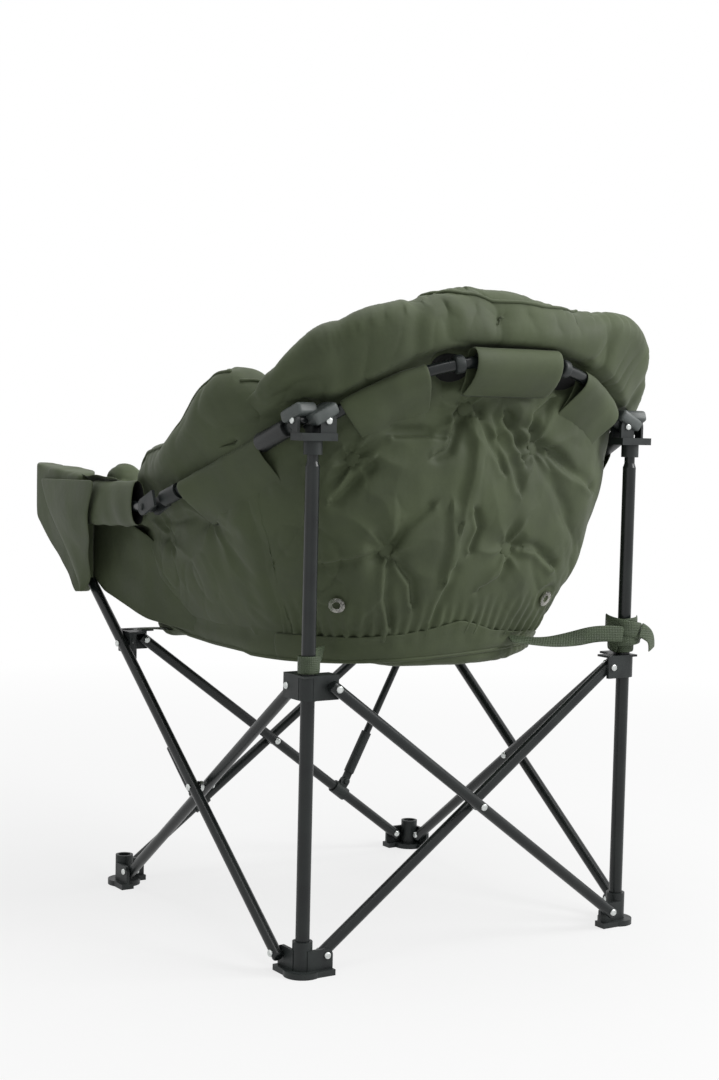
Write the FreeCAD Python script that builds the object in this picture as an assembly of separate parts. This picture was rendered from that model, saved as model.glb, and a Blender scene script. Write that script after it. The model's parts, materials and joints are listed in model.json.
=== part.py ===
import FreeCAD, Part
import math
import os

Vector = FreeCAD.Vector

# Camping bucket chair with a square folding X frame, in millimetres, +Z up.
# +X is the sitter's left and -Y the front. Lengths below are the driving dimensions.

# Square frame
POST_SPACING = 540.0
LUG_REACH = 30.0
LUG_OFFSET = 12.0
LUG_THICKNESS = 5.0
LUG_RADIUS = 9.0
FOOT_PIVOT_Z = 26.0
HUB_PIVOT_Z = 383.0

# Tubes
UPRIGHT_D = 19.0
LEG_D = 16.0
HOOP_D = 16.0
STRUT_D = 12.0
TUBE_WALL = 1.2
LEG_OVERHANG = 9.0
LEG_END_WALL = 3.0
LEG_END_ROUND = 2.5
ARM_TIP_REACH = 931.0

# Rivets
RIVET_D = 5.0
RIVET_HEAD_D = 10.0
RIVET_HEAD_H = 3.0
RIVET_HEAD_ROUND = 2.2
SPACER_D = 15.0

# Clearances
RIVET_FIT = 0.05
PRESS_GAP = 0.02
SIDE_GAP = 0.3
SLIDE_GAP = 0.5
HEAD_GAP = 0.1
CLOTH_GAP = 0.4

# Foot and hub mouldings
SOLE_H = 8.0
SOLE_R = 25.0
SOLE_LUG_HALF = 10.0
SOCKET_WALL = 4.0
SOCKET_TOP_Z = 46.0
HUB_BELOW = 16.0
HUB_ABOVE = 14.0
FLANGE_T = 3.0
FLANGE_R = 23.0
FLANGE_END_R = 13.0

# Uprights and hoop brackets
UPRIGHT_TOP_Z = 673.0
STUB_D = 15.0
STUB_TAPER = 6.0
STUB_TOP_Z = 708.0
BRACKET_BASE_Z = 688.0
DECK_BOTTOM_Z = 706.0
DECK_TOP_Z = 716.0
DECK_FRONT = 14.0
DECK_BACK = 16.0
DECK_INSIDE = 28.0
DECK_OUTSIDE = 26.0
BRACKET_WALL = 5.0
EAR_T = 4.0
EAR_R = 12.0
HOOP_PIVOT_Z = 732.0
BACK_PIVOT_IN = 16.0
ARM_PIVOT_OUT = 12.0
ARM_PIVOT_FORWARD = 12.0
END_LEAD = 20.0

# Hoop tubes
HOOP_CENTRE_BACK = 73.0
HOOP_CENTRE_Z = 816.0
HOOP_MID_X = 138.0
HOOP_MID_BACK = 52.0
HOOP_MID_Z = 797.0
FITTING_REACH = 34.0
FITTING_SOCKET = 28.0
FITTING_R = 10.5
FITTING_EYE_R = 10.0
FITTING_EYE_T = 6.0
FITTING_NECK = 6.0

# Arms
KNUCKLE_X = 343.0
KNUCKLE_Y = -52.0
KNUCKLE_Z = 603.0
KNUCKLE_REACH = 36.0
KNUCKLE_SOCKET = 34.0
KNUCKLE_R = 11.5
KNUCKLE_CHEEK_R = 12.0
KNUCKLE_GAP = 1.4
ARM_TIP_GAP = 3.0

# Front struts and their sliding collars
COLLAR_AT = 142.0
COLLAR_LENGTH = 28.0
COLLAR_WALL = 2.5
COLLAR_PIN_RISE = 18.0
COLLAR_EAR_T = 3.0
COLLAR_EAR_R = 7.0
TANG_T = 4.0
TANG_LENGTH = 16.0
STRUT_SLEEVE_D = 17.0
STRUT_SLEEVE_TOP = 90.0
STRUT_SLEEVE_FLOOR = 20.0
STRUT_INSERT = 62.0
STRUT_PIN_DROP = 30.0
STRUT_PIN_IN = 14.0
STRUT_EAR_T = 4.5
STRUT_EAR_R = 8.0

# Bucket cushions
PAD_T = 40.0
PAD_PINCH = 12.0
RIM_ROLL = 22.0
BOWL_R = 238.0
BOWL_POWER = 2.6
RIM_HALF_WIDTH = 334.0
RIM_BACK = 340.0
RIM_POWER = 3.5
RIM_CENTRE_Z = 884.0
RIM_SIDE_Z = 768.0
RIM_NOTCH = 10.0
WAIST_SHARE = 0.68
WAIST_IN = 8.0
LOWER_BULGE_SHARE = 0.05
UPPER_HOLLOW = 11.0
LOFT_DEGREE = 3
BACK_CHANNEL_ANGLE = 26.0
STEPS_PER_LOBE = 6
BACK_HALF_ANGLE = 62.0
TUFT_R = 55.0
TUFT_DEPTH = 6.0
SEAT_HALF_WIDTH = 224.0
SEAT_BACK = 192.0
SEAT_BOTTOM_Z = 400.0
SEAT_EDGE_Z = 422.0
SEAT_CROWN_Z = 450.0
SEAT_BULGE = 6.0
SEAT_SAG = 8.0
SEAT_PINCH = 7.0
SEAT_FRONT = 262.0
SEAT_STATIONS = 9
SEAT_SPREAD = 1.5
SEAT_DOME_POWER = 4

# Each side cushion station, from the back cushion forward: y, bottom x, rise of the bottom, top x, top z
SIDE_STATIONS = (
    (95.0, 240.0, 0.0, 330.0, 752.0),
    (20.0, 240.0, 0.0, 332.0, 724.0),
    (-60.0, 238.0, 0.0, 328.0, 688.0),
    (-140.0, 236.0, 3.0, 316.0, 658.0),
    (-220.0, 234.0, 14.0, 298.0, 622.0),
    (-300.0, 238.0, 44.0, 276.0, 618.0),
    (-372.0, 248.0, 96.0, 274.0, 614.0),
)

# Tufts on the back cushion's outer face: degrees from the middle of the back and height
TUFTS = (
    (38.0, 680.0),
    (29.0, 560.0),
    (8.0, 752.0),
    (-9.0, 560.0),
    (-15.0, 700.0),
)

# Cloth fittings on the frame
STRAP_W = 24.0
STRAP_T = 2.2
STRAP_LOOP_GAP = 0.6
STRAP_AIM = 60.0
POCKET_MARGIN = 6.0
POCKET_ROUND = 4.0
POCKET_OUTLINE = (
    (-535.0, 650.0),
    (-545.0, 596.0),
    (-386.0, 446.0),
    (-340.0, 476.0),
    (-318.0, 520.0),
    (-304.0, 640.0),
)
SLEEVE_T = 2.5
SLEEVE_START = 0.20
SLEEVE_END = 0.74
FLAP_HALF_LENGTH = 46.0
FLAP_SLACK = 1.7
FLAP_TAIL = 46.0
EYELET_R = 11.5
EYELET_HOLE_R = 5.5
EYELET_T = 2.4
EYELET_Z = 484.0
EYELET_ANGLES = (-30.0, 42.0)

# Places worked out from the dimensions
HALF = POST_SPACING / 2
PIVOT = HALF - LUG_REACH
LAYER = LUG_THICKNESS / 2 + SIDE_GAP + LEG_D / 2
OUTER = HALF + LUG_OFFSET + LAYER
INNER = HALF + LUG_OFFSET - LAYER
LUG_OUT = HALF + LUG_OFFSET + LUG_THICKNESS / 2
LUG_IN = HALF + LUG_OFFSET - LUG_THICKNESS / 2
LEG_SPAN = math.hypot(2 * PIVOT, HUB_PIVOT_Z - FOOT_PIVOT_Z)
LEG_SIN = 2 * PIVOT / LEG_SPAN
LEG_COS = (HUB_PIVOT_Z - FOOT_PIVOT_Z) / LEG_SPAN
CROSS_Z = (FOOT_PIVOT_Z + HUB_PIVOT_Z) / 2
UPRIGHT_R = UPRIGHT_D / 2
LEG_R = LEG_D / 2
HOOP_R = HOOP_D / 2
STRUT_R = STRUT_D / 2
SOCKET_R = UPRIGHT_R + PRESS_GAP + SOCKET_WALL
HUB_BORE_R = UPRIGHT_R + SLIDE_GAP
HUB_R = HUB_BORE_R + SOCKET_WALL
HUB_TOP_Z = HUB_PIVOT_Z + HUB_ABOVE + FLANGE_T
BACK_PIVOT = Vector(HALF - BACK_PIVOT_IN, HALF, HOOP_PIVOT_Z)
ARM_PIVOT = Vector(HALF + ARM_PIVOT_OUT, HALF - ARM_PIVOT_FORWARD, HOOP_PIVOT_Z)
HOOP_CENTRE = Vector(0, HALF + HOOP_CENTRE_BACK, HOOP_CENTRE_Z)
KNUCKLE = Vector(KNUCKLE_X, KNUCKLE_Y, KNUCKLE_Z)
SEAT_FALL_AT_WALL = (SEAT_CROWN_Z - SEAT_EDGE_Z) * ((BOWL_R - PAD_T) / SEAT_HALF_WIDTH) ** 2
BOWL_BOTTOM_Z = SEAT_CROWN_Z - SEAT_FALL_AT_WALL + CLOTH_GAP * 2
LEFT_TIP = Vector(OUTER, PIVOT - ARM_TIP_REACH * LEG_SIN, FOOT_PIVOT_Z + ARM_TIP_REACH * LEG_COS)
ARM_END = LEFT_TIP + Vector(LEG_R + ARM_TIP_GAP + HOOP_R, 0, 0)
X_AXIS = Vector(1, 0, 0)
Y_AXIS = Vector(0, 1, 0)
Z_AXIS = Vector(0, 0, 1)


def unit(vector):
    return Vector(vector).normalize()


def rod(start, end, radius):
    along = end - start
    return Part.makeCylinder(radius, along.Length, start, along)


def block(corner, opposite):
    low = Vector(*(min(a, b) for a, b in zip(corner, opposite)))
    high = Vector(*(max(a, b) for a, b in zip(corner, opposite)))
    size = high - low
    return Part.makeBox(size.x, size.y, size.z, low)


def fuse(first, *others):
    return first.multiFuse(list(others)).removeSplitter()


def circle_edges(shape):
    return [edge for edge in shape.Edges if isinstance(edge.Curve, Part.Circle)]


def mirrored(shape):
    return shape.mirror(Vector(0, 0, 0), X_AXIS)


def straight_tube(first, last, radius, holes):
    """A tube closed at both ends, reaching a little past its end pivots, drilled along each hole's axis."""
    along = unit(last - first)
    start = first - along * LEG_OVERHANG
    end = last + along * LEG_OVERHANG
    outside = rod(start, end, radius)
    outside = outside.makeFillet(LEG_END_ROUND, circle_edges(outside))
    inside = rod(start + along * LEG_END_WALL, end - along * LEG_END_WALL, radius - TUBE_WALL)
    tube = outside.cut(inside)
    for point, axis, clearance in holes:
        tube = tube.cut(rod(point - axis * radius * 2, point + axis * radius * 2, RIVET_D / 2 + clearance))
    return tube


def rivet_head(base, axis):
    head = rod(base, base + axis * RIVET_HEAD_H, RIVET_HEAD_D / 2)
    rim = [edge for edge in circle_edges(head) if (edge.Curve.Center - base).Length > RIVET_HEAD_H / 2]
    return head.makeFillet(RIVET_HEAD_ROUND, rim)


def rivet(start, end):
    """A shank from start to end with a domed head outside each end."""
    axis = unit(end - start)
    return fuse(rod(start, end, RIVET_D / 2), rivet_head(end, axis), rivet_head(start, -axis))


def corner_point(side_x, side_y, offset_x, offset_y, z):
    """A point near one corner post, with offsets that grow outwards from the frame's middle."""
    return Vector(side_x * (HALF + offset_x), side_y * (HALF + offset_y), z)


def lugs(side_x, side_y, bottom, pivot_z):
    """The two lugs of a corner moulding, one for each X frame that meets there, with their rivet holes."""
    low = LUG_OFFSET - LUG_THICKNESS / 2
    high = LUG_OFFSET + LUG_THICKNESS / 2
    hole_r = RIVET_D / 2 + RIVET_FIT
    shapes = []
    holes = []
    for along_y in (True, False):
        def place(along, across, z):
            if along_y:
                return corner_point(side_x, side_y, across, along, z)
            return corner_point(side_x, side_y, along, across, z)
        shapes.append(block(place(0, low, bottom), place(-LUG_REACH, high, pivot_z + LUG_RADIUS)))
        shapes.append(rod(place(-LUG_REACH, low, pivot_z), place(-LUG_REACH, high, pivot_z), LUG_RADIUS))
        shapes.append(block(place(-LUG_REACH, low, bottom), place(-LUG_REACH - LUG_RADIUS, high, pivot_z)))
        start = place(-LUG_REACH, low - LUG_THICKNESS, pivot_z)
        end = place(-LUG_REACH, high + LUG_THICKNESS, pivot_z)
        holes.append(rod(start, end, hole_r))
    return shapes, holes


def foot(side_x, side_y):
    """A foot moulding: sole plate, upright socket and two lugs."""
    base = corner_point(side_x, side_y, 0, 0, 0)
    shapes, holes = lugs(side_x, side_y, 0, FOOT_PIVOT_Z)
    reach = -LUG_REACH - LUG_RADIUS
    across = (LUG_OFFSET - SOLE_LUG_HALF, LUG_OFFSET + SOLE_LUG_HALF)
    shapes.append(block(corner_point(side_x, side_y, across[0], 0, 0),
                        corner_point(side_x, side_y, across[1], reach, SOLE_H)))
    shapes.append(block(corner_point(side_x, side_y, 0, across[0], 0),
                        corner_point(side_x, side_y, reach, across[1], SOLE_H)))
    shapes.append(rod(base, base + Z_AXIS * SOCKET_TOP_Z, SOCKET_R))
    body = fuse(rod(base, base + Z_AXIS * SOLE_H, SOLE_R), *shapes)
    holes.append(rod(base + Z_AXIS * SOLE_H, base + Z_AXIS * SOCKET_TOP_Z * 2, UPRIGHT_R + PRESS_GAP))
    return body.cut(Part.makeCompound(holes))


def hub(side_x, side_y, strut_y=None):
    """A hub moulding: ring for an upright, flange on top, two lugs and, at the front, a strut ear below."""
    centre = corner_point(side_x, side_y, 0, 0, HUB_PIVOT_Z)
    bottom_z = HUB_PIVOT_Z - HUB_BELOW
    flange_z = HUB_PIVOT_Z + HUB_ABOVE
    shapes, holes = lugs(side_x, side_y, bottom_z, HUB_PIVOT_Z)
    limit = LUG_OFFSET + LUG_THICKNESS / 2
    inner = limit - 2 * FLANGE_END_R
    reach = -LUG_REACH - LUG_RADIUS
    disc_bottom = corner_point(side_x, side_y, 0, 0, flange_z)
    plate = fuse(rod(disc_bottom, disc_bottom + Z_AXIS * FLANGE_T, FLANGE_R),
                 block(corner_point(side_x, side_y, inner, 0, flange_z),
                       corner_point(side_x, side_y, limit, reach, HUB_TOP_Z)),
                 block(corner_point(side_x, side_y, 0, inner, flange_z),
                       corner_point(side_x, side_y, reach, limit, HUB_TOP_Z)))
    plate = plate.common(block(corner_point(side_x, side_y, limit, limit, flange_z),
                               corner_point(side_x, side_y, -HALF, -HALF, HUB_TOP_Z)))
    shapes.append(plate)
    shapes.append(block(corner_point(side_x, side_y, LUG_OFFSET, 0, HUB_PIVOT_Z),
                        corner_point(side_x, side_y, limit, reach, flange_z)))
    shapes.append(block(corner_point(side_x, side_y, 0, LUG_OFFSET, HUB_PIVOT_Z),
                        corner_point(side_x, side_y, reach, limit, flange_z)))
    if strut_y is not None:
        pin = strut_top(side_x, strut_y)
        near = strut_y + STRUT_R + SIDE_GAP
        far = near + STRUT_EAR_T
        low = Vector(pin.x, near, pin.z)
        high = Vector(pin.x, far, pin.z)
        shapes.append(rod(low, high, STRUT_EAR_R))
        shapes.append(block((pin.x - STRUT_EAR_R, near, pin.z), (pin.x + STRUT_EAR_R, far, HUB_PIVOT_Z)))
        shapes.append(rivet_head(high, Y_AXIS))
    ring = rod(Vector(centre.x, centre.y, bottom_z), Vector(centre.x, centre.y, flange_z), HUB_R)
    body = fuse(ring, *shapes)
    holes.append(rod(Vector(centre.x, centre.y, bottom_z - STRUT_PIN_DROP), centre + Z_AXIS * HUB_ABOVE * 2,
                     HUB_BORE_R))
    return body.cut(Part.makeCompound(holes))


def upright(side_x):
    """A rear upright: round tube with a swaged stub that enters the hoop bracket."""
    base = corner_point(side_x, 1, 0, 0, SOLE_H)
    neck = corner_point(side_x, 1, 0, 0, UPRIGHT_TOP_Z)
    taper = Part.makeCone(UPRIGHT_R, STUB_D / 2, STUB_TAPER, neck, Z_AXIS)
    top = corner_point(side_x, 1, 0, 0, STUB_TOP_Z)
    outside = fuse(rod(base, neck, UPRIGHT_R), taper, rod(neck, top, STUB_D / 2))
    return outside.cut(rod(base, top, STUB_D / 2 - TUBE_WALL))


def hoop_bracket():
    """The left hoop bracket: socket on the stub, deck, two ears for the back tube and two for the arm."""
    post = Vector(HALF, HALF, 0)
    socket = rod(post + Z_AXIS * BRACKET_BASE_Z, post + Z_AXIS * DECK_TOP_Z, STUB_D / 2 + BRACKET_WALL)
    deck = block((HALF - DECK_INSIDE, HALF - DECK_FRONT, DECK_BOTTOM_Z),
                 (HALF + DECK_OUTSIDE, HALF + DECK_BACK, DECK_TOP_Z))
    stand_off = HOOP_R + SIDE_GAP
    shapes = [deck]
    for side in (-1, 1):
        near = side * stand_off
        far = side * (stand_off + EAR_T)
        shapes.append(rod(ARM_PIVOT + X_AXIS * near, ARM_PIVOT + X_AXIS * far, EAR_R))
        shapes.append(block((ARM_PIVOT.x + near, HALF - DECK_FRONT, DECK_BOTTOM_Z),
                            (ARM_PIVOT.x + far, ARM_PIVOT.y + EAR_R, HOOP_PIVOT_Z)))
        shapes.append(rod(BACK_PIVOT + Y_AXIS * near, BACK_PIVOT + Y_AXIS * far, EAR_R))
        shapes.append(block((BACK_PIVOT.x - EAR_R, BACK_PIVOT.y + near, DECK_BOTTOM_Z),
                            (BACK_PIVOT.x + EAR_R, BACK_PIVOT.y + far, HOOP_PIVOT_Z)))
    body = fuse(socket, *shapes)
    reach = stand_off + EAR_T * 2
    stub_bottom = post + Z_AXIS * (BRACKET_BASE_Z - STUB_TAPER)
    cuts = [rod(ARM_PIVOT - X_AXIS * reach, ARM_PIVOT + X_AXIS * reach, RIVET_D / 2 + PRESS_GAP),
            rod(BACK_PIVOT - Y_AXIS * reach, BACK_PIVOT + Y_AXIS * reach, RIVET_D / 2 + PRESS_GAP),
            rod(stub_bottom, post + Z_AXIS * STUB_TOP_Z, STUB_D / 2 + PRESS_GAP)]
    return body.cut(Part.makeCompound(cuts))


def bracket_rivets():
    reach = HOOP_R + SIDE_GAP + EAR_T
    arm = rivet(ARM_PIVOT - X_AXIS * reach, ARM_PIVOT + X_AXIS * reach)
    back = rivet(BACK_PIVOT - Y_AXIS * reach, BACK_PIVOT + Y_AXIS * reach)
    return Part.makeCompound([arm, back])


def side_foot_pivot(side_x, side_y, layer):
    return Vector(side_x * layer, side_y * PIVOT, FOOT_PIVOT_Z)


def side_hub_pivot(side_x, side_y, layer):
    return Vector(side_x * layer, side_y * PIVOT, HUB_PIVOT_Z)


def end_foot_pivot(side_x, side_y, layer):
    return Vector(side_x * PIVOT, side_y * layer, FOOT_PIVOT_Z)


def end_hub_pivot(side_x, side_y, layer):
    return Vector(side_x * PIVOT, side_y * layer, HUB_PIVOT_Z)


def crossing(axis, side, layer):
    point = axis * (side * layer)
    return Vector(point.x, point.y, CROSS_Z)


def outer_leg(foot_pivot, hub_pivot, end, axis, side):
    """A leg tube on the outer layer of an X frame and its rivets, which also hold the crossing."""
    outward = axis * side
    middle = crossing(axis, side, OUTER)
    holes = [(point, axis, PRESS_GAP) for point in (foot_pivot, hub_pivot, middle)]
    tube = straight_tube(foot_pivot, end, LEG_R, holes)
    lug_face = LUG_IN - HEAD_GAP - OUTER
    rivets = [rivet(point + outward * lug_face, point + outward * LEG_R) for point in (foot_pivot, hub_pivot)]
    rivets.append(rivet(middle + outward * (INNER - LEG_R - HEAD_GAP - OUTER), middle + outward * LEG_R))
    spacer_start = INNER + LEG_R + SIDE_GAP - OUTER
    spacer = rod(middle + outward * spacer_start, middle - outward * LEG_R, SPACER_D / 2)
    rivets[2] = fuse(rivets[2], spacer)
    return tube, Part.makeCompound(rivets)


def inner_leg(foot_pivot, hub_pivot, axis, side):
    """A leg tube on the inner layer of an X frame, drilled for the crossing rivet, and its own end rivets."""
    outward = axis * side
    middle = crossing(axis, side, INNER)
    holes = [(foot_pivot, axis, PRESS_GAP), (hub_pivot, axis, PRESS_GAP), (middle, axis, RIVET_FIT)]
    tube = straight_tube(foot_pivot, hub_pivot, LEG_R, holes)
    lug_face = LUG_OUT + HEAD_GAP - INNER
    rivets = [rivet(point - outward * LEG_R, point + outward * lug_face) for point in (foot_pivot, hub_pivot)]
    return tube, Part.makeCompound(rivets)


def strut_top(side_x, strut_y):
    return Vector(side_x * (HALF - STRUT_PIN_IN), strut_y, HUB_PIVOT_Z - STRUT_PIN_DROP)


def collar_frame(side_x, strut_y):
    """Where a strut's collar sits on its leg tube: middle, direction up the tube and the upward normal."""
    along = Vector(-side_x * LEG_SIN, 0, LEG_COS)
    normal = Vector(side_x * LEG_COS, 0, LEG_SIN)
    middle = Vector(side_x * PIVOT, strut_y, FOOT_PIVOT_Z) + along * COLLAR_AT
    return middle, along, normal


def collar_pin(side_x, strut_y):
    middle, along, normal = collar_frame(side_x, strut_y)
    return middle + normal * COLLAR_PIN_RISE


def collar(side_x, strut_y):
    """A sliding collar with two ears that hold the strut's tang."""
    middle, along, normal = collar_frame(side_x, strut_y)
    pin = collar_pin(side_x, strut_y)
    half = along * (COLLAR_LENGTH / 2)
    bore_r = LEG_R + SIDE_GAP
    shapes = []
    for side in (-1, 1):
        near = Y_AXIS * (side * (TANG_T / 2 + SIDE_GAP))
        far = near + Y_AXIS * (side * COLLAR_EAR_T)
        shapes.append(rod(pin + near, pin + far, COLLAR_EAR_R))
        web = [middle + along * COLLAR_EAR_R, middle - along * COLLAR_EAR_R, pin - along * COLLAR_EAR_R,
               pin + along * COLLAR_EAR_R]
        face = Part.Face(Part.makePolygon([point + near for point in web + web[:1]]))
        shapes.append(face.extrude(far - near))
    body = fuse(rod(middle - half, middle + half, bore_r + COLLAR_WALL), *shapes)
    pin_hole = rod(pin - Y_AXIS * LEG_D, pin + Y_AXIS * LEG_D, RIVET_D / 2 + RIVET_FIT)
    return body.cut(Part.makeCompound([rod(middle - half * 2, middle + half * 2, bore_r), pin_hole]))


def strut_sleeve(side_x, strut_y):
    """The strut's lower sleeve with its flat tang and the pin that turns in the collar's ears."""
    pin = collar_pin(side_x, strut_y)
    along = unit(strut_top(side_x, strut_y) - pin)
    across = along.cross(Y_AXIS)
    half = Y_AXIS * (TANG_T / 2)
    side = across * COLLAR_EAR_R
    root = pin + along * (TANG_LENGTH + LEG_END_WALL)
    corners = [pin + side, root + side, root - side, pin - side]
    plate = Part.Face(Part.makePolygon([point - half for point in corners + corners[:1]])).extrude(half * 2)
    reach = Y_AXIS * (TANG_T / 2 + SIDE_GAP + COLLAR_EAR_T + HEAD_GAP)
    body = fuse(rod(pin - half, pin + half, COLLAR_EAR_R), plate, rivet(pin - reach, pin + reach),
                rod(pin + along * TANG_LENGTH, pin + along * STRUT_SLEEVE_TOP, STRUT_SLEEVE_D / 2))
    bore = rod(pin + along * STRUT_SLEEVE_FLOOR, pin + along * STRUT_SLEEVE_TOP * 2, STRUT_R + SIDE_GAP)
    return body.cut(bore)


def strut_rod(side_x, strut_y):
    """The strut's upper rod, which slides in the sleeve and ends beside the hub's ear."""
    pin = collar_pin(side_x, strut_y)
    top = strut_top(side_x, strut_y)
    along = unit(top - pin)
    start = pin + along * (STRUT_SLEEVE_TOP - STRUT_INSERT)
    end = top + along * STRUT_R
    body = rod(start, end, STRUT_R)
    body = body.makeFillet(LEG_END_ROUND, circle_edges(body))
    bore = rod(start + along * LEG_END_WALL, end - along * (LEG_END_WALL + STRUT_D), STRUT_R - TUBE_WALL)
    vent = rod(start, start + along * LEG_END_WALL, RIVET_D / 2)
    face = top - Y_AXIS * STRUT_R
    pin_end = fuse(rod(top, face, RIVET_D / 2), rivet_head(face, -Y_AXIS))
    return fuse(body.cut(fuse(bore, vent)), pin_end)


def lead(pivot, aim, axis):
    """The straight end of a hoop or arm tube: square to its rivet while between the bracket's ears."""
    along = aim - pivot
    along = unit(along - axis * along.dot(axis))
    return pivot - along * LEG_OVERHANG, pivot + along * END_LEAD


def end_plug(ends, axis, pivot):
    """The plugged straight end of a tube with its rivet hole."""
    plug = rod(*ends, HOOP_R)
    plug = plug.makeFillet(LEG_END_ROUND, circle_edges(plug))
    return plug, rod(pivot - axis * HOOP_D, pivot + axis * HOOP_D, RIVET_D / 2 + RIVET_FIT)


def hoop_arc():
    """The left back tube's centre line, from its straight end to its centre fitting."""
    middle = Vector(HOOP_MID_X, HALF + HOOP_MID_BACK, HOOP_MID_Z)
    start = lead(BACK_PIVOT, middle, Y_AXIS)[1]
    end = HOOP_CENTRE + X_AXIS * FITTING_REACH
    return Part.Arc(start, middle, end).toShape()


def tangent_at(arc, share):
    value = arc.FirstParameter + share * (arc.LastParameter - arc.FirstParameter)
    return arc.valueAt(value), unit(arc.tangentAt(value))


def ring_sweep(edges, start, direction, radius):
    profile = Part.Wire([Part.Circle(start, direction, radius).toShape()])
    return Part.Wire(edges).makePipeShell([profile], True, True)


def back_tube():
    """The left back tube of the hoop, with its plugged end on the bracket rivet."""
    arc = hoop_arc()
    start, direction = tangent_at(arc, 0)
    outside = ring_sweep([arc], start, direction, HOOP_R)
    inside = ring_sweep([arc], start, direction, HOOP_R - TUBE_WALL)
    plug, hole = end_plug(lead(BACK_PIVOT, start, Y_AXIS), Y_AXIS, BACK_PIVOT)
    return fuse(outside.cut(inside), plug).cut(hole)


def centre_fitting(layer):
    """One half of the hoop's centre hinge: socket on the left back tube, eye on one side of the middle."""
    arc = hoop_arc()
    end, direction = tangent_at(arc, 1)
    socket = rod(end - direction * FITTING_SOCKET, end + direction * LEG_END_WALL, FITTING_R)
    socket = socket.cut(ring_sweep([arc], *tangent_at(arc, 0), HOOP_R + PRESS_GAP))
    near = HOOP_CENTRE + Y_AXIS * (layer * SIDE_GAP)
    far = HOOP_CENTRE + Y_AXIS * (layer * (SIDE_GAP + FITTING_EYE_T))
    eye = rod(near, far, FITTING_EYE_R)
    neck = block((0, near.y, end.z - FITTING_NECK), (end.x - LEG_END_WALL, far.y, end.z + FITTING_NECK))
    return fuse(socket, eye, neck, rivet_head(far, Y_AXIS * layer))


def arm_axes():
    rear = unit(KNUCKLE - lead(ARM_PIVOT, KNUCKLE, X_AXIS)[1])
    front = unit(ARM_END - KNUCKLE)
    return rear, front


def arm_rear_tube():
    """The left rear arm tube, from the hoop bracket into the knuckle's socket."""
    rear, front = arm_axes()
    ends = lead(ARM_PIVOT, KNUCKLE, X_AXIS)
    outside = rod(ends[1], KNUCKLE - rear * (KNUCKLE_REACH + LEG_END_WALL), HOOP_R)
    inside = rod(ends[1] + rear * LEG_END_WALL, KNUCKLE - rear * KNUCKLE_REACH, HOOP_R - TUBE_WALL)
    plug, hole = end_plug(ends, X_AXIS, ARM_PIVOT)
    return fuse(outside.cut(inside), plug).cut(hole)


def knuckle():
    """The left arm knuckle: socket on the rear arm tube and two cheeks with a pin for the front arm tube."""
    rear, front = arm_axes()
    socket_end = KNUCKLE - rear * KNUCKLE_REACH
    socket_start = socket_end - rear * KNUCKLE_SOCKET
    tube_end = socket_end - rear * LEG_END_WALL
    socket = rod(socket_start, socket_end, KNUCKLE_R)
    inside = HOOP_R + KNUCKLE_GAP
    shapes = []
    rise = unit(rear.cross(X_AXIS))
    for side in (-1, 1):
        near = X_AXIS * (side * inside)
        far = X_AXIS * (side * (inside + EAR_T))
        shapes.append(rod(KNUCKLE + near, KNUCKLE + far, KNUCKLE_CHEEK_R))
        back = Vector(KNUCKLE.x, tube_end.y, tube_end.z)
        corners = [KNUCKLE + rise * KNUCKLE_CHEEK_R, back + rise * KNUCKLE_R, back - rise * KNUCKLE_R,
                   KNUCKLE - rise * KNUCKLE_CHEEK_R]
        face = Part.Face(Part.makePolygon([point + near for point in corners + corners[:1]]))
        shapes.append(face.extrude(far - near))
    pin_reach = X_AXIS * (inside + EAR_T)
    shapes.append(rivet(KNUCKLE - pin_reach, KNUCKLE + pin_reach))
    return fuse(socket, *shapes).cut(rod(socket_start, tube_end, HOOP_R + PRESS_GAP))


def arm_front_tube():
    """The left front arm tube, from the knuckle to a place beside the long leg's tip."""
    return straight_tube(KNUCKLE, ARM_END, HOOP_R, [(KNUCKLE, X_AXIS, RIVET_FIT)])


def rounded_square(angle, half_width, back, power):
    """Distance from the bowl's axis to a rounded square, at an angle from the middle of the back."""
    across = abs(math.sin(angle)) / half_width
    behind = abs(math.cos(angle)) / back
    return (across ** power + behind ** power) ** (-1 / power)


def wall_face(bottom, top, inward, bulge):
    """One face of a wall in a slice: a full arc up to the waist and a hollow arc above it."""
    waist = bottom + (top - bottom) * WAIST_SHARE + inward * WAIST_IN
    low = (bottom + waist) * 0.5 - inward * bulge
    high = (waist + top) * 0.5 + inward * UPPER_HOLLOW
    return Part.Arc(bottom, low, waist).toShape(), Part.Arc(waist, high, top).toShape()


def wall_section(bottom, top, inward, pinch):
    """A wall's closed outline in one slice: outer face, rolled rim, inner face and bottom edge.
    A pinch of 1 is where the wall is sewn through and drawn in, and 0 is where it is fullest."""
    thickness = PAD_T - PAD_PINCH * pinch
    rise = unit(top - bottom)
    bulge = LOWER_BULGE_SHARE * (top - bottom).Length
    top = top - rise * (RIM_NOTCH * pinch) + inward * (PAD_PINCH * pinch / 2)
    roll = RIM_ROLL - PAD_PINCH * pinch / 2
    inner_top = top + inward * thickness
    inner_bottom = bottom + inward * thickness
    apex = (top + inner_top) * 0.5 + rise * roll
    edges = [*wall_face(bottom, top, inward, bulge), Part.Arc(top, apex, inner_top).toShape(),
             *reversed(wall_face(inner_bottom, inner_top, inward, bulge)),
             Part.LineSegment(inner_bottom, bottom).toShape()]
    return Part.Wire(edges)


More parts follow.
